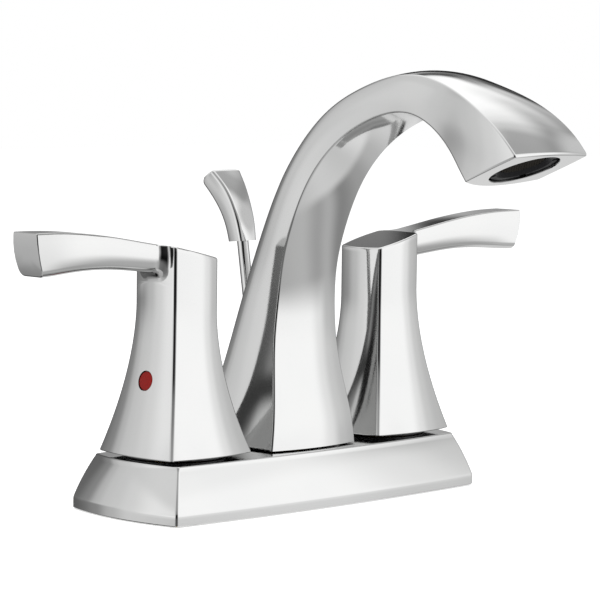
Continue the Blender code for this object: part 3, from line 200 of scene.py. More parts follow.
def skin(bm, outlines):
    rings = [first_ring(bm, outlines[0])]
    for outline in outlines[1:]:
        rings.append(draw_on(bm, rings[-1], outline))
    return rings


def carve(bm, cutters):
    # Cuts closed shapes out of a closed body
    meshes = []
    for shape in [bm] + cutters:
        bmesh.ops.recalc_face_normals(shape, faces=shape.faces)
        mesh = bpy.data.meshes.new("carving")
        shape.to_mesh(mesh)
        shape.free()
        meshes.append(mesh)
    body, *tools = [bpy.data.objects.new("carving", mesh) for mesh in meshes]
    for thing in [body] + tools:
        bpy.context.scene.collection.objects.link(thing)
    for tool in tools:
        cut = body.modifiers.new("cut", "BOOLEAN")
        cut.object = tool
        cut.solver = "EXACT"
    cut_mesh = bpy.data.meshes.new_from_object(body.evaluated_get(bpy.context.evaluated_depsgraph_get()))
    for thing in [body] + tools:
        bpy.data.objects.remove(thing)
    carved = bmesh.new()
    carved.from_mesh(cut_mesh)
    return carved


def drum(radius, bottom, top, place=Matrix.Identity(4), sides=64):
    bm = bmesh.new()
    middle = Matrix.Translation((0, 0, (top + bottom) / 2))
    bmesh.ops.create_cone(bm, cap_ends=True, segments=sides, radius1=radius, radius2=radius,
                          depth=top - bottom, matrix=place @ middle)
    return bm


def piece(name, bm, material, body, replaced):
    bmesh.ops.recalc_face_normals(bm, faces=bm.faces)
    mesh = bpy.data.meshes.new(name)
    bm.to_mesh(mesh)
    bm.free()
    mesh.shade_smooth()
    mesh.set_sharp_from_angle(angle=math.radians(30))
    mesh.materials.append(material)
    made = bpy.data.objects.new(name, mesh)
    bpy.context.scene.collection.objects.link(made)
    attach(made, body)
    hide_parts(replaced)


chrome = polished_chrome("polished_chrome")
PLATE_LENGTH = 0.1492
PLATE_DEPTH = 0.0547
PLATE_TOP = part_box("deck_plate")[1].z
PLATE_LIP = 0.0039
PLATE_SLOPE = 0.0058
PLATE_SWELL = 0.0004
PLATE_ROUND = 0.0006
PLATE_WALL = 0.0022
PLATE_LONG_BOW = 0.0030
PLATE_SHORT_BOW = 0.0041
PLATE_CORNER = 0.0008
PLATE_FOOT_EDGE = 0.0003
VALVE_OUT = 0.0508
NECK_HOLE = 0.0108
NIPPLE_HOLE = 0.0069
NIPPLE_BACK = -0.0050
ROD_HOLE = 0.0030
ROD_HOLE_BACK = 0.0087
DRILL_LOW = 0.010
DRILL_HIGH = 0.030


def plate_outline(inset, level):
    half_length = PLATE_LENGTH / 2 - inset
    half_depth = PLATE_DEPTH / 2 - inset
    corners = [Vector((-half_length, -half_depth, level)), Vector((half_length, -half_depth, level)),
               Vector((half_length, half_depth, level)), Vector((-half_length, half_depth, level))]
    bows = [Vector((0, -PLATE_LONG_BOW, 0)), Vector((PLATE_SHORT_BOW, 0, 0)),
            Vector((0, PLATE_LONG_BOW, 0)), Vector((-PLATE_SHORT_BOW, 0, 0))]
    return bowed_outline(corners, bows, PLATE_CORNER, 24)


def plate_side(level):
    # How far the slope has come in at a level, less its slight swell
    up = (level - PLATE_LIP) / (PLATE_TOP - PLATE_LIP)
    return PLATE_SLOPE * up - PLATE_SWELL * 4 * up * (1 - up)


plate = bmesh.new()
outlines = [plate_outline(PLATE_WALL + plate_side(level), level - PLATE_WALL)
            for level in np.linspace(PLATE_TOP, PLATE_LIP, 5)]
outlines += [plate_outline(PLATE_WALL, 0.0), plate_outline(PLATE_FOOT_EDGE, 0.0)]
outlines.append(plate_outline(0.0, PLATE_FOOT_EDGE))
for level in np.linspace(2 * PLATE_FOOT_EDGE, PLATE_LIP - PLATE_ROUND, 4):
    outlines.append(plate_outline(0.0, level))
for turn in np.linspace(0, 1, 6)[1:-1]:
    outlines.append(plate_outline(plate_side(PLATE_LIP + PLATE_ROUND) * turn ** 2,
                                  PLATE_LIP - PLATE_ROUND + 2 * PLATE_ROUND * turn))
for level in np.linspace(PLATE_LIP + PLATE_ROUND, PLATE_TOP - PLATE_ROUND, 12):
    outlines.append(plate_outline(plate_side(level), level))
for turn in np.radians(np.linspace(0, 90, 7)[1:]):
    outlines.append(plate_outline(plate_side(PLATE_TOP - PLATE_ROUND) + PLATE_ROUND * (1 - math.cos(turn)),
                                  PLATE_TOP - PLATE_ROUND * (1 - math.sin(turn))))
outlines.append(plate_outline(PLATE_SLOPE + PLATE_ROUND * 1.5, PLATE_TOP))
rings = skin(plate, outlines)
plate.faces.new(rings[0])
plate.faces.new(rings[-1])
holes = [drum(radius, DRILL_LOW, DRILL_HIGH, Matrix.Translation((across, back, 0)))
         for radius, across, back in ((NECK_HOLE, -VALVE_OUT, 0), (NECK_HOLE, VALVE_OUT, 0),
                                      (NIPPLE_HOLE, 0, NIPPLE_BACK), (ROD_HOLE, 0, ROD_HOLE_BACK))]
piece("deck_cover", carve(plate, holes), chrome, "faucet_body", "deck_plate")


# Spout: one chromed casting, square and flared at the foot, bent forward over the basin
# and spreading into a broad nose whose flat outlet face is bored for the aerator. Two
# screws from under the plate hold it down.
def flowing(places, rows):
    # Reads each value of a row between its places, on a natural cubic curve through them
    places = np.array(places, float)
    rows = np.array(rows, float)
    gaps = np.diff(places)
    system = np.eye(len(places))
    pull = np.zeros_like(rows)
    for index in range(1, len(places) - 1):
        before, after = gaps[index - 1], gaps[index]
        system[index, index - 1:index + 2] = before, 2 * (before + after), after
        pull[index] = 6 * ((rows[index + 1] - rows[index]) / after
                           - (rows[index] - rows[index - 1]) / before)
    bend = np.linalg.solve(system, pull)

    def read(position):
        index = min(max(int(np.searchsorted(places, position)) - 1, 0), len(gaps) - 1)
        right = (position - places[index]) / gaps[index]
        left = 1 - right
        return (left * rows[index] + right * rows[index + 1] + gaps[index] ** 2 / 6
                * ((left ** 3 - left) * bend[index] + (right ** 3 - right) * bend[index + 1]))

    return read


FIT = 0.0003
SPOUT_FLOOR = PLATE_TOP + FIT
SPOUT_REACH = 0.1262
SPOUT_RISE = 0.1342
SPOUT_FOOT_HALF = 0.0211
SPOUT_WALL = 0.0026
SPOUT_FOOT_EDGE = 0.0003
SPOUT_EDGE = 0.0006
FLANK_SKEW = 0.5
HOLLOW_STATION = 1.3
STATION_GAP = 0.02
OUTLET_MIDDLE = Vector((0, -0.1149, 0.1230))
OUTLET_TILT = math.radians(22.5)
OUTLET_LIP = 0.0005
RECESS_RADIUS = 0.0122
RECESS_DEPTH = 0.0033
RECESS_EDGE = 0.0002
BORE_RADIUS = 0.0096
BORE_DEPTH = 0.0086
into_nose = Vector((0, math.sin(OUTLET_TILT), math.cos(OUTLET_TILT)))

# Stations from foot to nose: forward and up of the middle in shares of reach and rise,
# then, in shares of the foot's half width, forward and up from there to the inner edge,
# inner half width and bow, outer half width and bow, and the flanks' bow.
SPOUT_STATIONS = (
    (-0.0120, 0.0000, 0.9091, 0.0000, 1.0000, 0.1232, 1.0000, 0.1232, 0.0995),
    (-0.0020, 0.0860, 0.8134, 0.0000, 0.9242, 0.1137, 0.9242, 0.1137, 0.0948),
    (0.0050, 0.1955, 0.6519, -0.0095, 0.8152, 0.0995, 0.8057, 0.0995, 0.0853),
    (0.0140, 0.3060, 0.5224, 0.0000, 0.7346, 0.0853, 0.7156, 0.0853, 0.0758),
    (0.0369, 0.4335, 0.4241, 0.0032, 0.6730, 0.0758, 0.6445, 0.0758, 0.0664),
    (0.0782, 0.5595, 0.3337, -0.0413, 0.6682, 0.0711, 0.6303, 0.0711, 0.0569),
    (0.1597, 0.7150, 0.2674, -0.1113, 0.6635, 0.0664, 0.6445, 0.0664, 0.0521),
    (0.2795, 0.8421, 0.1764, -0.2185, 0.6682, 0.0664, 0.6540, 0.0664, 0.0474),
    (0.4158, 0.9166, 0.1098, -0.2566, 0.6777, 0.0664, 0.6540, 0.0664, 0.0474),
    (0.5630, 0.9515, -0.0072, -0.3024, 0.6872, 0.0664, 0.6303, 0.0664, 0.0474),
    (0.6860, 0.9305, -0.1355, -0.3148, 0.7109, 0.0806, 0.6351, 0.0664, 0.0474),
    (0.7898, 0.8804, -0.2868, -0.3291, 0.7488, 0.1232, 0.7915, 0.0711, 0.0474),
    (0.8690, 0.8228, -0.4244, -0.3002, 0.8246, 0.1991, 0.8626, 0.0758, 0.0427),
    (0.9156, 0.7793, -0.5048, -0.2172, 0.8815, 0.2417, 0.8626, 0.0806, 0.0284),
)
NOSE_STATION = len(SPOUT_STATIONS) - 1
spout_row = flowing(range(len(SPOUT_STATIONS)), SPOUT_STATIONS)


def spout_outline(position, inset=0.0):
    forward, up, *shares = spout_row(position)
    middle = Vector((0, -forward * SPOUT_REACH, SPOUT_FLOOR + up * SPOUT_RISE))
    across, rise, inner_half, inner_bow, outer_half, outer_bow, flank_bow = (
        share * SPOUT_FOOT_HALF for share in shares)
    to_inner = Vector((0, -across, rise))
    way = to_inner.normalized()
    inner = middle + to_inner - way * inset
    outer = middle - to_inner + way * inset
    inner_side = Vector((inner_half - inset, 0, 0))
    outer_side = Vector((outer_half - inset, 0, 0))
    corners = [inner - inner_side, inner + inner_side, outer + outer_side, outer - outer_side]
    flank = Vector((flank_bow / (1 + FLANK_SKEW), 0, 0))
    return bowed_outline(corners, [way * inner_bow, flank, -way * outer_bow, -flank], SPOUT_EDGE, 14,
                         skews=(0, -FLANK_SKEW, 0, FLANK_SKEW))


def outlet_circle(radius, depth, count):
    # A circle round the outlet's middle, sunk into the nose, started at the rim's corner
    back = Vector((0, math.cos(OUTLET_TILT), -math.sin(OUTLET_TILT)))
    middle = OUTLET_MIDDLE + into_nose * depth
    points = []
    for step in range(count):
        angle = math.tau * step / count + math.radians(225)
        points.append(middle + Vector((radius * math.cos(angle), 0, 0)) + back * -radius * math.sin(angle))
    return points


spout = bmesh.new()
outlines = [spout_outline(position, SPOUT_WALL) for position in np.linspace(HOLLOW_STATION, 0.0, 8)]
outlines.append(spout_outline(0.0, SPOUT_FOOT_EDGE))
outlines += [spout_outline(position)
             for position in np.linspace(STATION_GAP, NOSE_STATION - STATION_GAP, 150)]
rim = spout_outline(NOSE_STATION)
out_way = -into_nose
lift = [(OUTLET_MIDDLE - point).dot(out_way) for point in rim]
for turn in np.radians(np.linspace(0, 90, 6)):
    outline = []
    for point, height in zip(rim, lift):
        flat = point + out_way * height
        inward = (OUTLET_MIDDLE - flat).normalized()
        outline.append(point + out_way * height * math.sin(turn)
                       + inward * OUTLET_LIP * (1 - math.cos(turn)))
    outlines.append(outline)
outlines.append([OUTLET_MIDDLE.lerp(point, 0.97) for point in outlines[-1]])
for radius, depth in ((RECESS_RADIUS + RECESS_EDGE, 0.0), (RECESS_RADIUS, RECESS_EDGE),
                      (RECESS_RADIUS, RECESS_DEPTH), (BORE_RADIUS, RECESS_DEPTH), (BORE_RADIUS, BORE_DEPTH)):
    outlines.append(outlet_circle(radius, depth, len(rim)))
rings = skin(spout, outlines)
spout.faces.new(rings[0])
spout.faces.new(rings[-1])

# The rod's hole, measured along the rod from where it enters its knob
ROD_LEAN = math.radians(9.4)
ROD_POINT = Vector((0, 0.0206, PLATE_TOP + 0.0722))
BUSHING_HOLE = 0.0037
BUSHING_LOW = -0.062
BUSHING_HIGH = -0.020
rod_place = Matrix.Translation(ROD_POINT) @ Matrix.Rotation(-ROD_LEAN, 4, "X")
rod_hole = drum(BUSHING_HOLE, BUSHING_LOW, BUSHING_HIGH, rod_place)
piece("spout_casting", carve(spout, [rod_hole]), chrome, "faucet_body", "spout")


# Aerator ring: a black plastic moulding, screwed into the nose against a rubber washer.
# Four notches in its face take the key that turns it.
def turned(profile, sides, place):
    # Spins a closed profile of radius and height into a solid ring
    bm = bmesh.new()
    points = [bm.verts.new((radius, 0, height)) for radius, height in profile]
    for index, point in enumerate(points):
        bm.edges.new((points[index - 1], point))
    bmesh.ops.spin(bm, geom=bm.verts[:] + bm.edges[:], cent=(0, 0, 0), axis=(0, 0, 1), angle=math.tau,
                   steps=sides, use_merge=True, use_duplicate=False)
    bmesh.ops.remove_doubles(bm, verts=bm.verts, dist=0.000001)
    bmesh.ops.transform(bm, matrix=place, verts=bm.verts)
    return bm


AERATOR_INSET = 0.0008
AERATOR_RIM = 0.0119
AERATOR_FACE = 0.0097
AERATOR_BODY = 0.0093
AERATOR_MOUTH = 0.0082
AERATOR_LENGTH = 0.0058
AERATOR_FLANGE = 0.0022
AERATOR_FUNNEL = 0.0014
AERATOR_EDGE = 0.0003
AERATOR_STEP = 0.0002
KEY_NOTCH_WIDTH = 0.0022
KEY_NOTCH_DEPTH = 0.0028
KEY_NOTCH_LENGTH = 0.004
BLACK_SHINE = 0.06
aerator_place = (Matrix.Translation(OUTLET_MIDDLE + into_nose * AERATOR_INSET)
                 @ Matrix.Rotation(-OUTLET_TILT, 4, "X"))
ring = turned([(AERATOR_BODY, AERATOR_LENGTH), (AERATOR_BODY, AERATOR_FLANGE), (AERATOR_RIM, AERATOR_FLANGE),
               (AERATOR_RIM, AERATOR_EDGE), (AERATOR_RIM - AERATOR_EDGE, 0.0), (AERATOR_FACE, 0.0),
               (AERATOR_FACE - AERATOR_EDGE, AERATOR_STEP), (AERATOR_MOUTH, AERATOR_FUNNEL),
               (AERATOR_MOUTH, AERATOR_LENGTH)], 96, aerator_place)
notches = []
for quarter in range(4):
    notch = bmesh.new()
    bmesh.ops.create_cube(notch, size=1.0)
    bmesh.ops.scale(notch, vec=(KEY_NOTCH_LENGTH, KEY_NOTCH_WIDTH, KEY_NOTCH_DEPTH), verts=notch.verts)
    bmesh.ops.translate(notch, vec=(AERATOR_FACE + KEY_NOTCH_LENGTH / 2, 0, 0), verts=notch.verts)
    round_the_ring = Matrix.Rotation(math.radians(45) + quarter * math.pi / 2, 4, "Z")
    bmesh.ops.transform(notch, matrix=aerator_place @ round_the_ring, verts=notch.verts)
    notches.append(notch)
matt_black = finish("matt_black", (0.010, 0.010, 0.011), 0.0, 0.45, 0.10, 1800.0, 0.2)
matt_black.node_tree.nodes["Principled BSDF"].inputs["Specular IOR Level"].default_value = BLACK_SHINE
piece("aerator_ring", carve(ring, notches), matt_black, "faucet_body", "aerator_housing")


# Aerator screen: a disc of fine steel wire, woven over and under, which the ring holds a
# little way up its mouth. Its colour is a brownish near black, far darker than steel: painted shade of the
# mouth.
WIRE_PITCH = 0.00062
WIRE = 0.00022
WIRE_SWAY = 0.00008
SCREEN_HALF_CELLS = 12
SCREEN_EDGE = 0.0006
SCREEN_DEPTH = 0.0012
# The wire's near black colour is painted shade inside the aerator's mouth, not the steel's own grey
screen_steel_painted_shade = finish("screen_steel_painted_shade", (0.040, 0.036, 0.031), 1.0, 0.45, 0.12, 2500.0, 0.1)
screen = bmesh.new()
bmesh.ops.create_grid(screen, x_segments=2 * SCREEN_HALF_CELLS, y_segments=2 * SCREEN_HALF_CELLS,
                      size=SCREEN_HALF_CELLS * WIRE_PITCH)
outside = [vert for vert in screen.verts if vert.co.length > AERATOR_MOUTH - SCREEN_EDGE]
bmesh.ops.delete(screen, geom=outside, context="VERTS")
for crossing in screen.verts:
    over = (round(crossing.co.x / WIRE_PITCH) + round(crossing.co.y / WIRE_PITCH)) % 2
    crossing.co.z = WIRE_SWAY if over else -WIRE_SWAY
bmesh.ops.wireframe(screen, faces=screen.faces, thickness=WIRE, use_replace=True, use_even_offset=True,
                    use_boundary=True)
bmesh.ops.transform(screen, matrix=aerator_place @ Matrix.Translation((0, 0, SCREEN_DEPTH)),
                    verts=screen.verts)
piece("woven_screen", screen, screen_steel_painted_shade, "faucet_body", "aerator_screen")


# Handles: each is one chromed casting, a square hub that flares to the plate, with a lever
# running out of its top through a hollow fillet. A small screw in the back holds it on the
# stem. The hot one is the cold one mirrored.
HUB_BASE = PLATE_TOP + 0.0015
HUB_HEIGHT = 0.0705
HUB_FOOT_HALF = 0.0190
HUB_NECK_HALF = 0.0101
HUB_FLARE = 0.72
HUB_FLARE_CURVE = 1.8
HUB_BOW = 0.118
HUB_FLARE_BOW = 0.04
HUB_EDGE = 0.0009
HUB_TOP_ROUND = 0.0006
HUB_TOP_SLOPE = 0.2375
HUB_WALL = 0.0023
HUB_FOOT_EDGE = 0.0003
HUB_CAVITY = 0.0360
SIDE_CUTS = 12
LEVER_REACH = 0.0697
LEVER_ROOT = 0.0113
LEVER_ROOT_HALF = 0.0092
LEVER_OPENING = 0.0138
LEVER_TIP_DEPTH = 0.0149
LEVER_BOW = 0.0003
LEVER_FILLET = 0.0034
LEVER_SPREAD = 0.0031
LEVER_DROP = 0.0033
LEVER_TOP_ROUND = 0.0005
LEVER_LOWER_ROUND = 0.0023
LEVER_LEAN = 0.0032
LEVER_LEAN_START = 0.056
LEVER_LEAN_CURVE = 2.2
LEVER_SWEEP = 0.0020


def hub_half(height):
    narrow = max(1 - height / HUB_HEIGHT / HUB_FLARE, 0.0) ** HUB_FLARE_CURVE
    return HUB_NECK_HALF + (HUB_FOOT_HALF - HUB_NECK_HALF) * narrow


def hub_bow(height):
    return HUB_BOW * hub_half(height) + HUB_FLARE_BOW * (hub_half(height) - HUB_NECK_HALF)


def hub_outline(height, inset, slope=HUB_TOP_SLOPE):
    half = hub_half(height) - inset
    bow = hub_bow(height)
    corners = [Vector((-half, -half, 0)), Vector((half, -half, 0)),
               Vector((half, half, 0)), Vector((-half, half, 0))]
    bows = [Vector((0, -bow, 0)), Vector((bow, 0, 0)), Vector((0, bow, 0)), Vector((-bow, 0, 0))]
    share = height / HUB_HEIGHT
    return [Vector((point.x, point.y, HUB_BASE + height + share * slope * point.x))
            for point in bowed_outline(corners, bows, HUB_EDGE, SIDE_CUTS)]


def hub_face(across):
    # How far out the hub's outer face is at a place across it
    return HUB_NECK_HALF * (1 + HUB_BOW * (1 - (across / HUB_NECK_HALF) ** 2))


lever_start = HUB_NECK_HALF
lever_run = LEVER_REACH - lever_start
lever_base = HUB_BASE + HUB_HEIGHT + HUB_TOP_SLOPE * lever_start

# How far the lever's top has risen along its run, and its half width and depth on the way
lever_rise = flowing([0.0, 0.17, 0.38, 0.60, 0.80, 1.0],
                     [[0.0], [0.00165], [0.00376], [0.00548], [0.0064], [0.0066]])
lever_shape = flowing([LEVER_ROOT, 0.0404, 0.0488, 0.0600, LEVER_REACH],
                      [[0.0050, 0.0097], [0.0050, 0.0120], [0.0051, 0.0131], [0.0056, 0.0145],
                       [0.0063, LEVER_TIP_DEPTH]])


def lever_top(out):
    if out < lever_start:
        return HUB_BASE + HUB_HEIGHT + HUB_TOP_SLOPE * out
    return lever_base + lever_rise((out - lever_start) / lever_run)[0]


def arc(middle, radius, start, turn, steps):
    points = []
    for step in range(1, steps + 1):
        angle = math.radians(start + turn * step / steps)
        points.append((middle[0] + radius * math.cos(angle), middle[1] + radius * math.sin(angle)))
    return points


def lever_outline(out, grow, lean):
    # A section across the lever: along its top, down the front, along below, up the back.
    # Where it grows, it widens into the fillet on the hub's bowed face.
    half, depth = lever_shape(max(out, LEVER_ROOT))
    half += LEVER_SPREAD * grow
    depth += LEVER_DROP * grow
    lower = LEVER_LOWER_ROUND + LEVER_SPREAD * grow
    upper = LEVER_TOP_ROUND
    flat = [1.0, 0.98] + list(np.linspace(0.85, -0.85, SIDE_CUTS - 3)) + [-0.98, -1.0]
    top = [(share * (half - upper), 0.0) for share in flat]
    front = arc((-half + upper, -upper), upper, 90, 90, 4)
    straight = depth - upper - lower
    front += [(-half - LEVER_BOW * 4 * share * (1 - share), -upper - straight * share)
              for share in (0.03, 0.25, 0.5, 0.75, 0.97, 1.0)]
    front += arc((-half + lower, -depth + lower), lower, 180, 90, 6)
    below = [(-share * (half - lower), -depth) for share in flat[1:]]
    back = [(-across, down) for across, down in reversed(front[:-1])]
    middle = -LEVER_SWEEP * max(out - LEVER_ROOT, 0.0) / (LEVER_REACH - LEVER_ROOT)
    points = []
    for across, down in top + front + below + back:
        place = out - lean * LEVER_LEAN * max(-down / depth, 0.0) ** LEVER_LEAN_CURVE
        place += (hub_face(min(abs(across), LEVER_ROOT_HALF)) - hub_face(0.0)) * min(grow, 1.0) ** 0.5
        points.append(Vector((place, middle + across, lever_top(place) + down)))
    return points


def handle_body():
    bm = bmesh.new()
    outlines = [hub_outline(height, HUB_WALL, 0.0) for height in np.linspace(HUB_CAVITY, 0.0, 12)]
    foot_rows = [HUB_FOOT_EDGE] + list(np.linspace(0.001, HUB_HEIGHT * 0.74, 26))
    lever_rows = np.linspace(HUB_HEIGHT - LEVER_OPENING, HUB_HEIGHT - HUB_TOP_ROUND, 12)
    outlines.append(hub_outline(0.0, HUB_FOOT_EDGE))
    outlines += [hub_outline(height, 0.0) for height in foot_rows]
    first_row = len(outlines)
    outlines += [hub_outline(height, 0.0) for height in lever_rows]
    for turn in np.radians(np.linspace(0, 90, 6)[1:]):
        outlines.append(hub_outline(HUB_HEIGHT - HUB_TOP_ROUND * (1 - math.sin(turn)),
                                    HUB_TOP_ROUND * (1 - math.cos(turn))))
    rings = skin(bm, outlines)
    bm.faces.new(rings[0])
    inner = draw_on(bm, rings[-1], hub_outline(HUB_HEIGHT, HUB_TOP_ROUND * 1.4))
    bm.faces.new(inner)

    # The outer side is opened for the lever: its columns follow the front side's and its
    # corner's
    start = (SIDE_CUTS + 3) + (CORNER_STEPS - 1) + 1
    end = start + SIDE_CUTS
    rows = rings[first_row:]
    opening = ([rows[-1][column] for column in range(end, start - 1, -1)]
               + [row[start] for row in reversed(rows[1:-1])]
               + [rows[0][column] for column in range(start, end + 1)]
               + [row[end] for row in rows[1:-1]])
    patch = {rows[level][column] for level in range(len(rows)) for column in range(start, end + 1)}
    inside = [face for face in bm.faces if all(corner in patch for corner in face.verts)]
    bmesh.ops.delete(bm, geom=inside, context="FACES")
    grown = [(hub_face(0.0), 1.06), (hub_face(0.0), 1.02)]
    for turn in np.radians(np.linspace(90, 0, 14)):
        grown.append((hub_face(0.0) + LEVER_FILLET * (1 - math.sin(turn)), 1 - math.cos(turn)))
    ring = opening
    for out, grow in grown:
        ring = draw_on(bm, ring, lever_outline(out, grow, 0.0))
    for out in np.linspace(LEVER_ROOT + LEVER_FILLET, LEVER_REACH - LEVER_BOW, 40)[1:]:
        lean = max((out - LEVER_LEAN_START) / (LEVER_REACH - LEVER_LEAN_START), 0.0) ** 1.3
        ring = draw_on(bm, ring, lever_outline(out, 0.0, lean))
    end_outline = lever_outline(LEVER_REACH, 0.0, 1.0)
    middle = sum(end_outline, Vector()) / len(end_outline)
    for share in (0.965, 0.93, 0.75, 0.5, 0.25):
        outline = []
        for point in end_outline:
            near = middle.lerp(point, share)
            down = max((lever_top(LEVER_REACH) - near.z) / LEVER_TIP_DEPTH, 0.0)
            outline.append(Vector((LEVER_REACH - LEVER_LEAN * down ** LEVER_LEAN_CURVE, near.y, near.z)))
        ring = draw_on(bm, ring, outline)
    bm.faces.new(ring)
    return bm


def place_on_side(bm, side):
    # Shapes are made for the cold side at the middle, then mirrored and moved out
    bmesh.ops.scale(bm, vec=(side, 1, 1), verts=bm.verts)
    bmesh.ops.translate(bm, vec=(side * VALVE_OUT, 0, 0), verts=bm.verts)


BUTTON_HEIGHT = 0.0258
BUTTON_RADIUS = 0.0034
BUTTON_GAP = 0.0002
BUTTON_SEAT = 0.0018
SLOPE_STEP = 0.001
SCREW_HEIGHT = 0.0450
SCREW_HOLE = 0.0021
STEM_HOLE = 0.0043
STEM_HOLE_TOP = 0.0723
STEM_HOLE_LAP = 0.003
DRILL_PAST = 0.004
face_below = hub_half(BUTTON_HEIGHT - SLOPE_STEP) + hub_bow(BUTTON_HEIGHT - SLOPE_STEP)
face_above = hub_half(BUTTON_HEIGHT + SLOPE_STEP) + hub_bow(BUTTON_HEIGHT + SLOPE_STEP)
button_tilt = math.atan2(face_below - face_above, 2 * SLOPE_STEP)
button_place = (Matrix.Translation(((face_below + face_above) / 2, 0, HUB_BASE + BUTTON_HEIGHT))
                @ Matrix.Rotation(math.pi / 2 - button_tilt, 4, "Y"))
screw_place = Matrix.Translation((0, 0, HUB_BASE + SCREW_HEIGHT)) @ Matrix.Rotation(-math.pi / 2, 4, "X")
for side, label in ((-1, "hot"), (1, "cold")):
    casting = carve(handle_body(), [
        drum(BUTTON_RADIUS + BUTTON_GAP, -BUTTON_SEAT, DRILL_PAST, button_place),
        drum(SCREW_HOLE, 0.0, HUB_FOOT_HALF, screw_place, 32),
        drum(STEM_HOLE, HUB_BASE + HUB_CAVITY - STEM_HOLE_LAP, STEM_HOLE_TOP, sides=32)])
    place_on_side(casting, side)
    piece(label + "_handle_casting", casting, chrome, label + "_handle_unit", label + "_handle")


# Index buttons: small enamelled discs, red for hot and blue for cold, with a rounded edge.
# Each is pressed into its seat in the hub's outer side.
BUTTON_THICKNESS = 0.0015
BUTTON_EDGE = 0.0004
RED_SHINE = 0.15
red_enamel = finish("red_enamel", (0.22, 0.005, 0.003), 0.0, 0.35, 0.08, 900.0, 0.05)
red_enamel.node_tree.nodes["Principled BSDF"].inputs["Specular IOR Level"].default_value = RED_SHINE
blue_enamel = finish("blue_enamel", (0.02, 0.08, 0.45), 0.0, 0.28, 0.08, 900.0, 0.05)
for side, label, enamel, slot in ((-1, "hot", red_enamel, "red_enamel"),
                                  (1, "cold", blue_enamel, "blue_enamel")):
    button = drum(BUTTON_RADIUS, -BUTTON_THICKNESS, 0.0, button_place)
    rim = [edge for edge in button.edges if edge.is_manifold and edge.calc_face_angle() > 1.0]
    outer = [edge for edge in rim
             if all((button_place.inverted() @ vert.co).z > -BUTTON_THICKNESS / 3 for vert in edge.verts)]
    bmesh.ops.bevel(button, geom=outer, offset=BUTTON_EDGE, offset_type="OFFSET", affect="EDGES", segments=4,
                    profile=0.5, material=-1)
    place_on_side(button, side)
    piece(label + "_button_enamel", button, enamel, label + "_handle_unit", label + "_index_button")


# Lift rod: a drawn rod, chromed like the rest, that slides in a bushing in the back of the
# spout and works the drain's stopper from below the deck.
ROD_RADIUS = 0.0021
ROD_IN_KNOB = 0.0080
ROD_END_GAP = 0.0005
rod_bottom = (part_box("lift_rod")[0].z - ROD_POINT.z) / math.cos(ROD_LEAN) + ROD_END_GAP
rod = drum(ROD_RADIUS, rod_bottom, ROD_IN_KNOB, rod_place, 48)
piece("pull_rod", rod, chrome, "lift_rod_unit", "lift_rod")


# Lift knob: a small curved blade, cast and chromed, that widens to its domed end. It is
# bored from below and fixed on the rod.
KNOB_HEIGHT = 0.0250
KNOB_FOOT_HALF = 0.0039
KNOB_TOP_HALF = 0.0069
KNOB_DOME = 0.0014
KNOB_TUCK = 0.20
KNOB_BOW = 0.0003
KNOB_EDGE = 0.0011
KNOB_TURN = 3.7
KNOB_ROWS = 30

# Stations of the blade from foot to top: back and up of its front edge and of its back
# edge in shares of its height, and how far its half width has grown
KNOB_STATIONS = (
    (-0.138, 0.008, 0.146, -0.018, 0.00),
    (-0.080, 0.276, 0.200, 0.208, 0.16),
    (0.024, 0.544, 0.304, 0.428, 0.31),
    (0.168, 0.788, 0.446, 0.636, 0.57),
    (0.356, 1.000, 0.612, 0.844, 1.00),
)
KNOB_END = len(KNOB_STATIONS) - 1
knob_row = flowing(range(len(KNOB_STATIONS)), KNOB_STATIONS)


def knob_outline(position):
    front_back, front_up, back_back, back_up, growth = knob_row(position)
    front = Vector((0, front_back, front_up)) * KNOB_HEIGHT + ROD_POINT
    back = Vector((0, back_back, back_up)) * KNOB_HEIGHT + ROD_POINT
    over = max(position - KNOB_TURN, 0.0) / (KNOB_END - KNOB_TURN)
    back = back.lerp(front, KNOB_TUCK * (1 - math.sqrt(1 - min(over, 1.0) ** 2)))
    side = Vector((KNOB_FOOT_HALF + (KNOB_TOP_HALF - KNOB_FOOT_HALF) * growth, 0, 0))
    way = (front - back).normalized()
    bows = [way * KNOB_BOW, Vector((KNOB_BOW, 0, 0)), -way * 2 * KNOB_BOW, Vector((-KNOB_BOW, 0, 0))]
    return bowed_outline([front - side, front + side, back + side, back - side], bows, KNOB_EDGE, 6)


knob = bmesh.new()
outlines = [knob_outline(position) for position in np.linspace(0.0, KNOB_TURN, KNOB_ROWS)]
for turn in np.radians(np.linspace(0, 90, 9)[1:]):
    outlines.append(knob_outline(KNOB_TURN + (KNOB_END - KNOB_TURN) * math.sin(turn)))
along = (outlines[-1][0] - outlines[KNOB_ROWS - 5][0]).normalized()
knob_middle = sum(outlines[-1], Vector()) / len(outlines[-1])
knob_end = outlines[-1]
for share in (0.985, 0.95, 0.88, 0.76, 0.6, 0.4, 0.2):
    rise = KNOB_DOME * math.sqrt(1 - share ** 2) ** 0.8
    outlines.append([knob_middle.lerp(point, share) + along * rise for point in knob_end])
rings = skin(knob, outlines)
knob.faces.new(rings[0])
knob.faces.new(rings[-1])
knob = carve(knob, [drum(ROD_RADIUS + FIT, -ROD_IN_KNOB / 2, ROD_IN_KNOB + FIT, rod_place, 48)])
piece("blade_knob", knob, chrome, "lift_rod_unit", "lift_knob")


# Light tent: a photographer's round tent of cloth, lit from outside, which shows in
# reflections alone. Rings of dark and pale panels hang in it, one above the other.
GREY_CURVE = 2.2


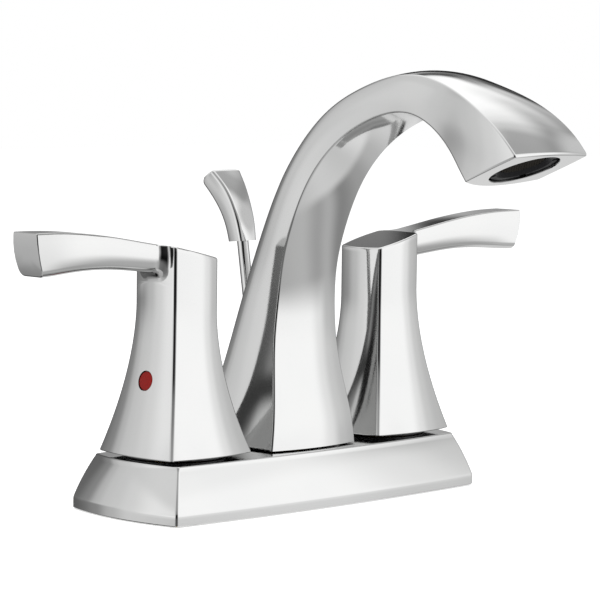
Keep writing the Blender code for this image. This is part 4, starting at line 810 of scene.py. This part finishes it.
def panels(tree, round_the_room, shades):
    # A ring of greys as they are to be seen in the chrome, by the turn from +X towards +Y
    ramp = tree.nodes.new("ShaderNodeValToRGB")
    ramp.color_ramp.interpolation = "EASE"
    stops = sorted(((turn / 360 + 0.5) % 1.0, grey ** GREY_CURVE / CHROME_SHARE) for turn, grey in shades)
    first, last = stops[0], stops[-1]
    share = (1 - last[0]) / (1 - last[0] + first[0])
    seam = last[1] + (first[1] - last[1]) * share
    stops = [(0.0, seam)] + stops + [(1.0, seam)]
    points = ramp.color_ramp.elements
    while len(points) < len(stops):
        points.new(0.5)
    for point, (place, _) in zip(points, stops):
        point.position = place
    for point, (_, light) in zip(points, stops):
        point.color = (light, light, light, 1.0)
    tree.links.new(round_the_room, ramp.inputs["Fac"])
    return ramp.outputs["Color"]


def shade_over(tree, height, lower, upper, bottom, top):
    # Passes from one ring of panels to the next one up
    rise = tree.nodes.new("ShaderNodeMapRange")
    rise.interpolation_type = "SMOOTHSTEP"
    rise.inputs["From Min"].default_value = math.sin(math.radians(bottom))
    rise.inputs["From Max"].default_value = math.sin(math.radians(top))
    tree.links.new(height, rise.inputs["Value"])
    both = tree.nodes.new("ShaderNodeMix")
    both.data_type = "RGBA"
    tree.links.new(rise.outputs["Result"], both.inputs["Factor"])
    tree.links.new(lower, both.inputs["A"])
    tree.links.new(upper, both.inputs["B"])
    return both.outputs["Result"]


def room_piece(name, bm, material):
    mesh = bpy.data.meshes.new(name)
    bm.to_mesh(mesh)
    bm.free()
    mesh.materials.append(material)
    made = bpy.data.objects.new(name, mesh)
    bpy.context.scene.collection.objects.link(made)
    return made


def show_in_reflections_alone(thing):
    thing.visible_camera = False
    thing.visible_diffuse = False
    thing.visible_shadow = False
    thing.visible_transmission = False


TENT_RADIUS = 3.0
tent_cloth = bpy.data.materials.new("tent_cloth")
tent_cloth.use_nodes = True
tent_tree = tent_cloth.node_tree
tent_tree.nodes.clear()
tent_place = tent_tree.nodes.new("ShaderNodeTexCoord")
tent_turn = tent_tree.nodes.new("ShaderNodeTexGradient")
tent_turn.gradient_type = "RADIAL"
tent_tree.links.new(tent_place.outputs["Object"], tent_turn.inputs["Vector"])
tent_split = tent_tree.nodes.new("ShaderNodeSeparateXYZ")
tent_tree.links.new(tent_place.outputs["Object"], tent_split.inputs["Vector"])
tent_height = tent_tree.nodes.new("ShaderNodeMath")
tent_height.operation = "DIVIDE"
tent_height.inputs[1].default_value = TENT_RADIUS
tent_tree.links.new(tent_split.outputs["Z"], tent_height.inputs[0])
tent_turns = tent_turn.outputs["Fac"]
tent_rise = tent_height.outputs["Value"]
underfoot = panels(tent_tree, tent_turns, (
    (0, 0.74), (21, 0.82), (45, 0.80), (62, 0.50), (82, 0.08), (105, 0.08), (123, 0.42),
    (150, 0.62), (225, 0.66), (300, 0.72), (330, 0.78)))
below = panels(tent_tree, tent_turns, (
    (0, 0.58), (15, 0.66), (33, 0.75), (50, 0.66), (66, 0.44), (80, 0.34), (104, 0.34), (118, 0.50),
    (128, 0.66), (141, 0.75), (155, 0.65), (172, 0.50), (190, 0.42), (225, 0.38), (258, 0.42),
    (285, 0.64), (308, 0.68), (322, 0.60), (331, 0.65), (343, 0.50)))
level_ring = panels(tent_tree, tent_turns, (
    (0, 0.50), (22, 0.42), (42, 0.58), (56, 0.48), (75, 0.26), (100, 0.35), (108, 0.43),
    (118, 0.50), (130, 0.68), (142, 0.80), (153, 0.88), (168, 0.93), (182, 0.85), (193, 0.40),
    (204, 0.07), (256, 0.07), (272, 0.45), (287, 0.94), (315, 0.95), (324, 0.87), (332, 0.72),
    (345, 0.64)))
raised_ring = panels(tent_tree, tent_turns, (
    (0, 0.58), (17, 0.40), (32, 0.22), (39, 0.46), (44, 0.62), (54, 0.42), (70, 0.30), (100, 0.38),
    (111, 0.50), (118, 0.68), (124, 0.74), (131, 0.76), (140, 0.80), (155, 0.88), (182, 0.80),
    (204, 0.16), (253, 0.12), (272, 0.60), (287, 0.96), (316, 0.96), (324, 0.87), (331, 0.77),
    (340, 0.71)))
shoulder_ring = panels(tent_tree, tent_turns, (
    (0, 0.56), (11, 0.57), (19, 0.61), (25, 0.67), (31, 0.74), (34, 0.56), (38, 0.30), (45, 0.28),
    (70, 0.28), (95, 0.38), (110, 0.54), (131, 0.76), (155, 0.80), (182, 0.76), (204, 0.46),
    (254, 0.46), (275, 0.80), (290, 0.96), (316, 0.92), (330, 0.66), (345, 0.60)))
brow_ring = panels(tent_tree, tent_turns, (
    (0, 0.56), (8, 0.63), (14, 0.70), (21, 0.80), (28, 0.90), (36, 0.97), (44, 0.90), (55, 0.60),
    (95, 0.55), (110, 0.66), (131, 0.77), (155, 0.80), (182, 0.78), (204, 0.56), (254, 0.56),
    (275, 0.88), (290, 0.96), (312, 0.90), (330, 0.57), (345, 0.55)))
high_ring = panels(tent_tree, tent_turns, (
    (1, 0.78), (8, 0.88), (14, 0.93), (20, 0.97), (30, 1.00), (40, 0.98), (53, 0.92), (75, 0.86),
    (105, 0.84), (118, 0.79), (155, 0.80), (182, 0.80), (205, 0.62), (250, 0.62), (280, 0.96),
    (312, 0.92), (330, 0.62), (350, 0.64)))
roof = panels(tent_tree, tent_turns, (
    (0, 0.90), (45, 0.96), (107, 0.86), (225, 0.80), (315, 0.88)))
cloth_light = underfoot
for ring_above, bottom, top in ((below, -44, -38), (level_ring, -13, -5), (raised_ring, -6, 4),
                                (shoulder_ring, 20, 27), (brow_ring, 29, 35), (high_ring, 38, 48),
                                (roof, 54, 64)):
    cloth_light = shade_over(tent_tree, tent_rise, cloth_light, ring_above, bottom, top)
tent_glow = tent_tree.nodes.new("ShaderNodeEmission")
tent_tree.links.new(cloth_light, tent_glow.inputs["Color"])
tent_end = tent_tree.nodes.new("ShaderNodeOutputMaterial")
tent_tree.links.new(tent_glow.outputs["Emission"], tent_end.inputs["Surface"])
tent = bmesh.new()
bmesh.ops.create_uvsphere(tent, u_segments=96, v_segments=48, radius=TENT_RADIUS)
tent_piece = room_piece("light_tent", tent, tent_cloth)
tent_piece.data.shade_smooth()
show_in_reflections_alone(tent_piece)


# Cards: two small round sheets with soft edges, which show in reflections alone. The pale
# one brightens the lift knob, and the dark one stands behind the cold handle.
for name, middle, facing, core, reach, light in (
        ("pale_card", Vector((0.1735, -0.126, 0.190)), Vector((0.694, -0.625, 0.358)), 0.035, 0.072, 0.84),
        ("dark_card", Vector((0.238, 0.128, 0.200)), Vector((-0.72, -0.46, -0.52)), 0.043, 0.060, 0.03)):
    card_paper = bpy.data.materials.new(name + "_paper")
    card_paper.use_nodes = True
    card_tree = card_paper.node_tree
    card_tree.nodes.clear()
    card_place = card_tree.nodes.new("ShaderNodeTexCoord")
    card_reach = card_tree.nodes.new("ShaderNodeVectorMath")
    card_reach.operation = "DISTANCE"
    card_reach.inputs[1].default_value = middle
    card_tree.links.new(card_place.outputs["Object"], card_reach.inputs[0])
    card_edge = card_tree.nodes.new("ShaderNodeMapRange")
    card_edge.interpolation_type = "SMOOTHSTEP"
    card_edge.inputs["From Min"].default_value = core
    card_edge.inputs["From Max"].default_value = reach
    card_tree.links.new(card_reach.outputs["Value"], card_edge.inputs["Value"])
    card_glow = card_tree.nodes.new("ShaderNodeEmission")
    card_glow.inputs["Color"].default_value = (light, light, light, 1.0)
    card_clear = card_tree.nodes.new("ShaderNodeBsdfTransparent")
    card_both = card_tree.nodes.new("ShaderNodeMixShader")
    card_tree.links.new(card_edge.outputs["Result"], card_both.inputs["Fac"])
    card_tree.links.new(card_glow.outputs["Emission"], card_both.inputs[1])
    card_tree.links.new(card_clear.outputs["BSDF"], card_both.inputs[2])
    card_end = card_tree.nodes.new("ShaderNodeOutputMaterial")
    card_tree.links.new(card_both.outputs["Shader"], card_end.inputs["Surface"])
    card = bmesh.new()
    card_turn = facing.to_track_quat("Z", "Y").to_matrix().to_4x4()
    bmesh.ops.create_circle(card, cap_ends=True, segments=48, radius=reach,
                            matrix=Matrix.Translation(middle) @ card_turn)
    show_in_reflections_alone(room_piece(name, card, card_paper))


# Floor: a plain pale sheet at the level of the sink deck, painted matt. It glows a little,
# so that it stays as bright as the photograph's white ground.
FLOOR_HALF = 2.5
FLOOR_LEVEL = -0.0004
FLOOR_GLOW = 0.52
floor_paint = finish("floor_paint", (0.90, 0.90, 0.90), 0.0, 0.9, 0.01, 40.0, 0.0)
floor_shader = floor_paint.node_tree.nodes["Principled BSDF"]
floor_shader.inputs["Emission Color"].default_value = (1, 1, 1, 1)
floor_shader.inputs["Emission Strength"].default_value = FLOOR_GLOW
floor_shader.inputs["Specular IOR Level"].default_value = 0.0
floor = bmesh.new()
bmesh.ops.create_grid(floor, x_segments=1, y_segments=1, size=FLOOR_HALF,
                      matrix=Matrix.Translation((0, 0, FLOOR_LEVEL)))
floor_piece = room_piece("floor", floor, floor_paint)
floor_piece.visible_glossy = False


# Light: a white room all round, full white where it is seen and dimmer where it lights,
# and one wide soft lamp above the faucet, which leaves no glint on the chrome.
ROOM_LIGHT = 0.6
LAMP_SIDE = 1.2
LAMP_POWER = 14.0
LAMP_PLACE = Vector((-0.5, -0.5, 1.5))
LAMP_TARGET = Vector((0, 0, 0.05))
world = bpy.data.worlds.new("white_room")
bpy.context.scene.world = world
world.use_nodes = True
sky = world.node_tree
background = sky.nodes["Background"]
background.inputs["Color"].default_value = (1, 1, 1, 1)
path = sky.nodes.new("ShaderNodeLightPath")
seen = sky.nodes.new("ShaderNodeMath")
seen.operation = "MAXIMUM"
sky.links.new(path.outputs["Is Camera Ray"], seen.inputs[0])
sky.links.new(path.outputs["Is Glossy Ray"], seen.inputs[1])
also = sky.nodes.new("ShaderNodeMath")
also.operation = "MAXIMUM"
sky.links.new(seen.outputs["Value"], also.inputs[0])
sky.links.new(path.outputs["Is Transmission Ray"], also.inputs[1])
level = sky.nodes.new("ShaderNodeMapRange")
level.inputs["To Min"].default_value = ROOM_LIGHT
level.inputs["To Max"].default_value = 1.0
sky.links.new(also.outputs["Value"], level.inputs["Value"])
sky.links.new(level.outputs["Result"], background.inputs["Strength"])

lamp = bpy.data.lights.new("soft_lamp", "AREA")
lamp.shape = "RECTANGLE"
lamp.size = LAMP_SIDE
lamp.size_y = LAMP_SIDE
lamp.energy = LAMP_POWER
lamp_object = bpy.data.objects.new("soft_lamp", lamp)
bpy.context.scene.collection.objects.link(lamp_object)
lamp_object.location = LAMP_PLACE
lamp_object.rotation_euler = (LAMP_TARGET - LAMP_PLACE).to_track_quat("-Z", "Y").to_euler()
lamp_object.visible_glossy = False


# Camera: it stands in front of the faucet to its left and a little above it, as in the
# photograph, with a long lens that keeps everything sharp.
VIEW_TURN = math.radians(-44.57)
VIEW_RISE = math.radians(5.20)
VIEW_ROLL = math.radians(0.754)
VIEW_DISTANCE = 1.04388
VIEW_TARGET = Vector((0.004838, -0.004765, 0.07138))
VIEW_LENS = 173.4
VIEW_SENSOR = 36.0
forward = Vector((-math.sin(VIEW_TURN) * math.cos(VIEW_RISE), math.cos(VIEW_TURN) * math.cos(VIEW_RISE),
                  -math.sin(VIEW_RISE)))
right = Vector((math.cos(VIEW_TURN), math.sin(VIEW_TURN), 0))
up = right.cross(forward)
rolled_right = right * math.cos(VIEW_ROLL) + up * math.sin(VIEW_ROLL)
rolled_up = up * math.cos(VIEW_ROLL) - right * math.sin(VIEW_ROLL)
lens = bpy.data.cameras.new("camera")
lens.sensor_width = VIEW_SENSOR
lens.lens = VIEW_LENS
lens.clip_start = 0.01
lens.clip_end = 50.0
camera = bpy.data.objects.new("camera", lens)
bpy.context.scene.collection.objects.link(camera)
turn = Matrix((rolled_right, rolled_up, -forward)).transposed()
camera.matrix_world = Matrix.Translation(VIEW_TARGET - forward * VIEW_DISTANCE) @ turn.to_4x4()
bpy.context.scene.camera = camera
bpy.context.scene.view_settings.view_transform = "Standard"
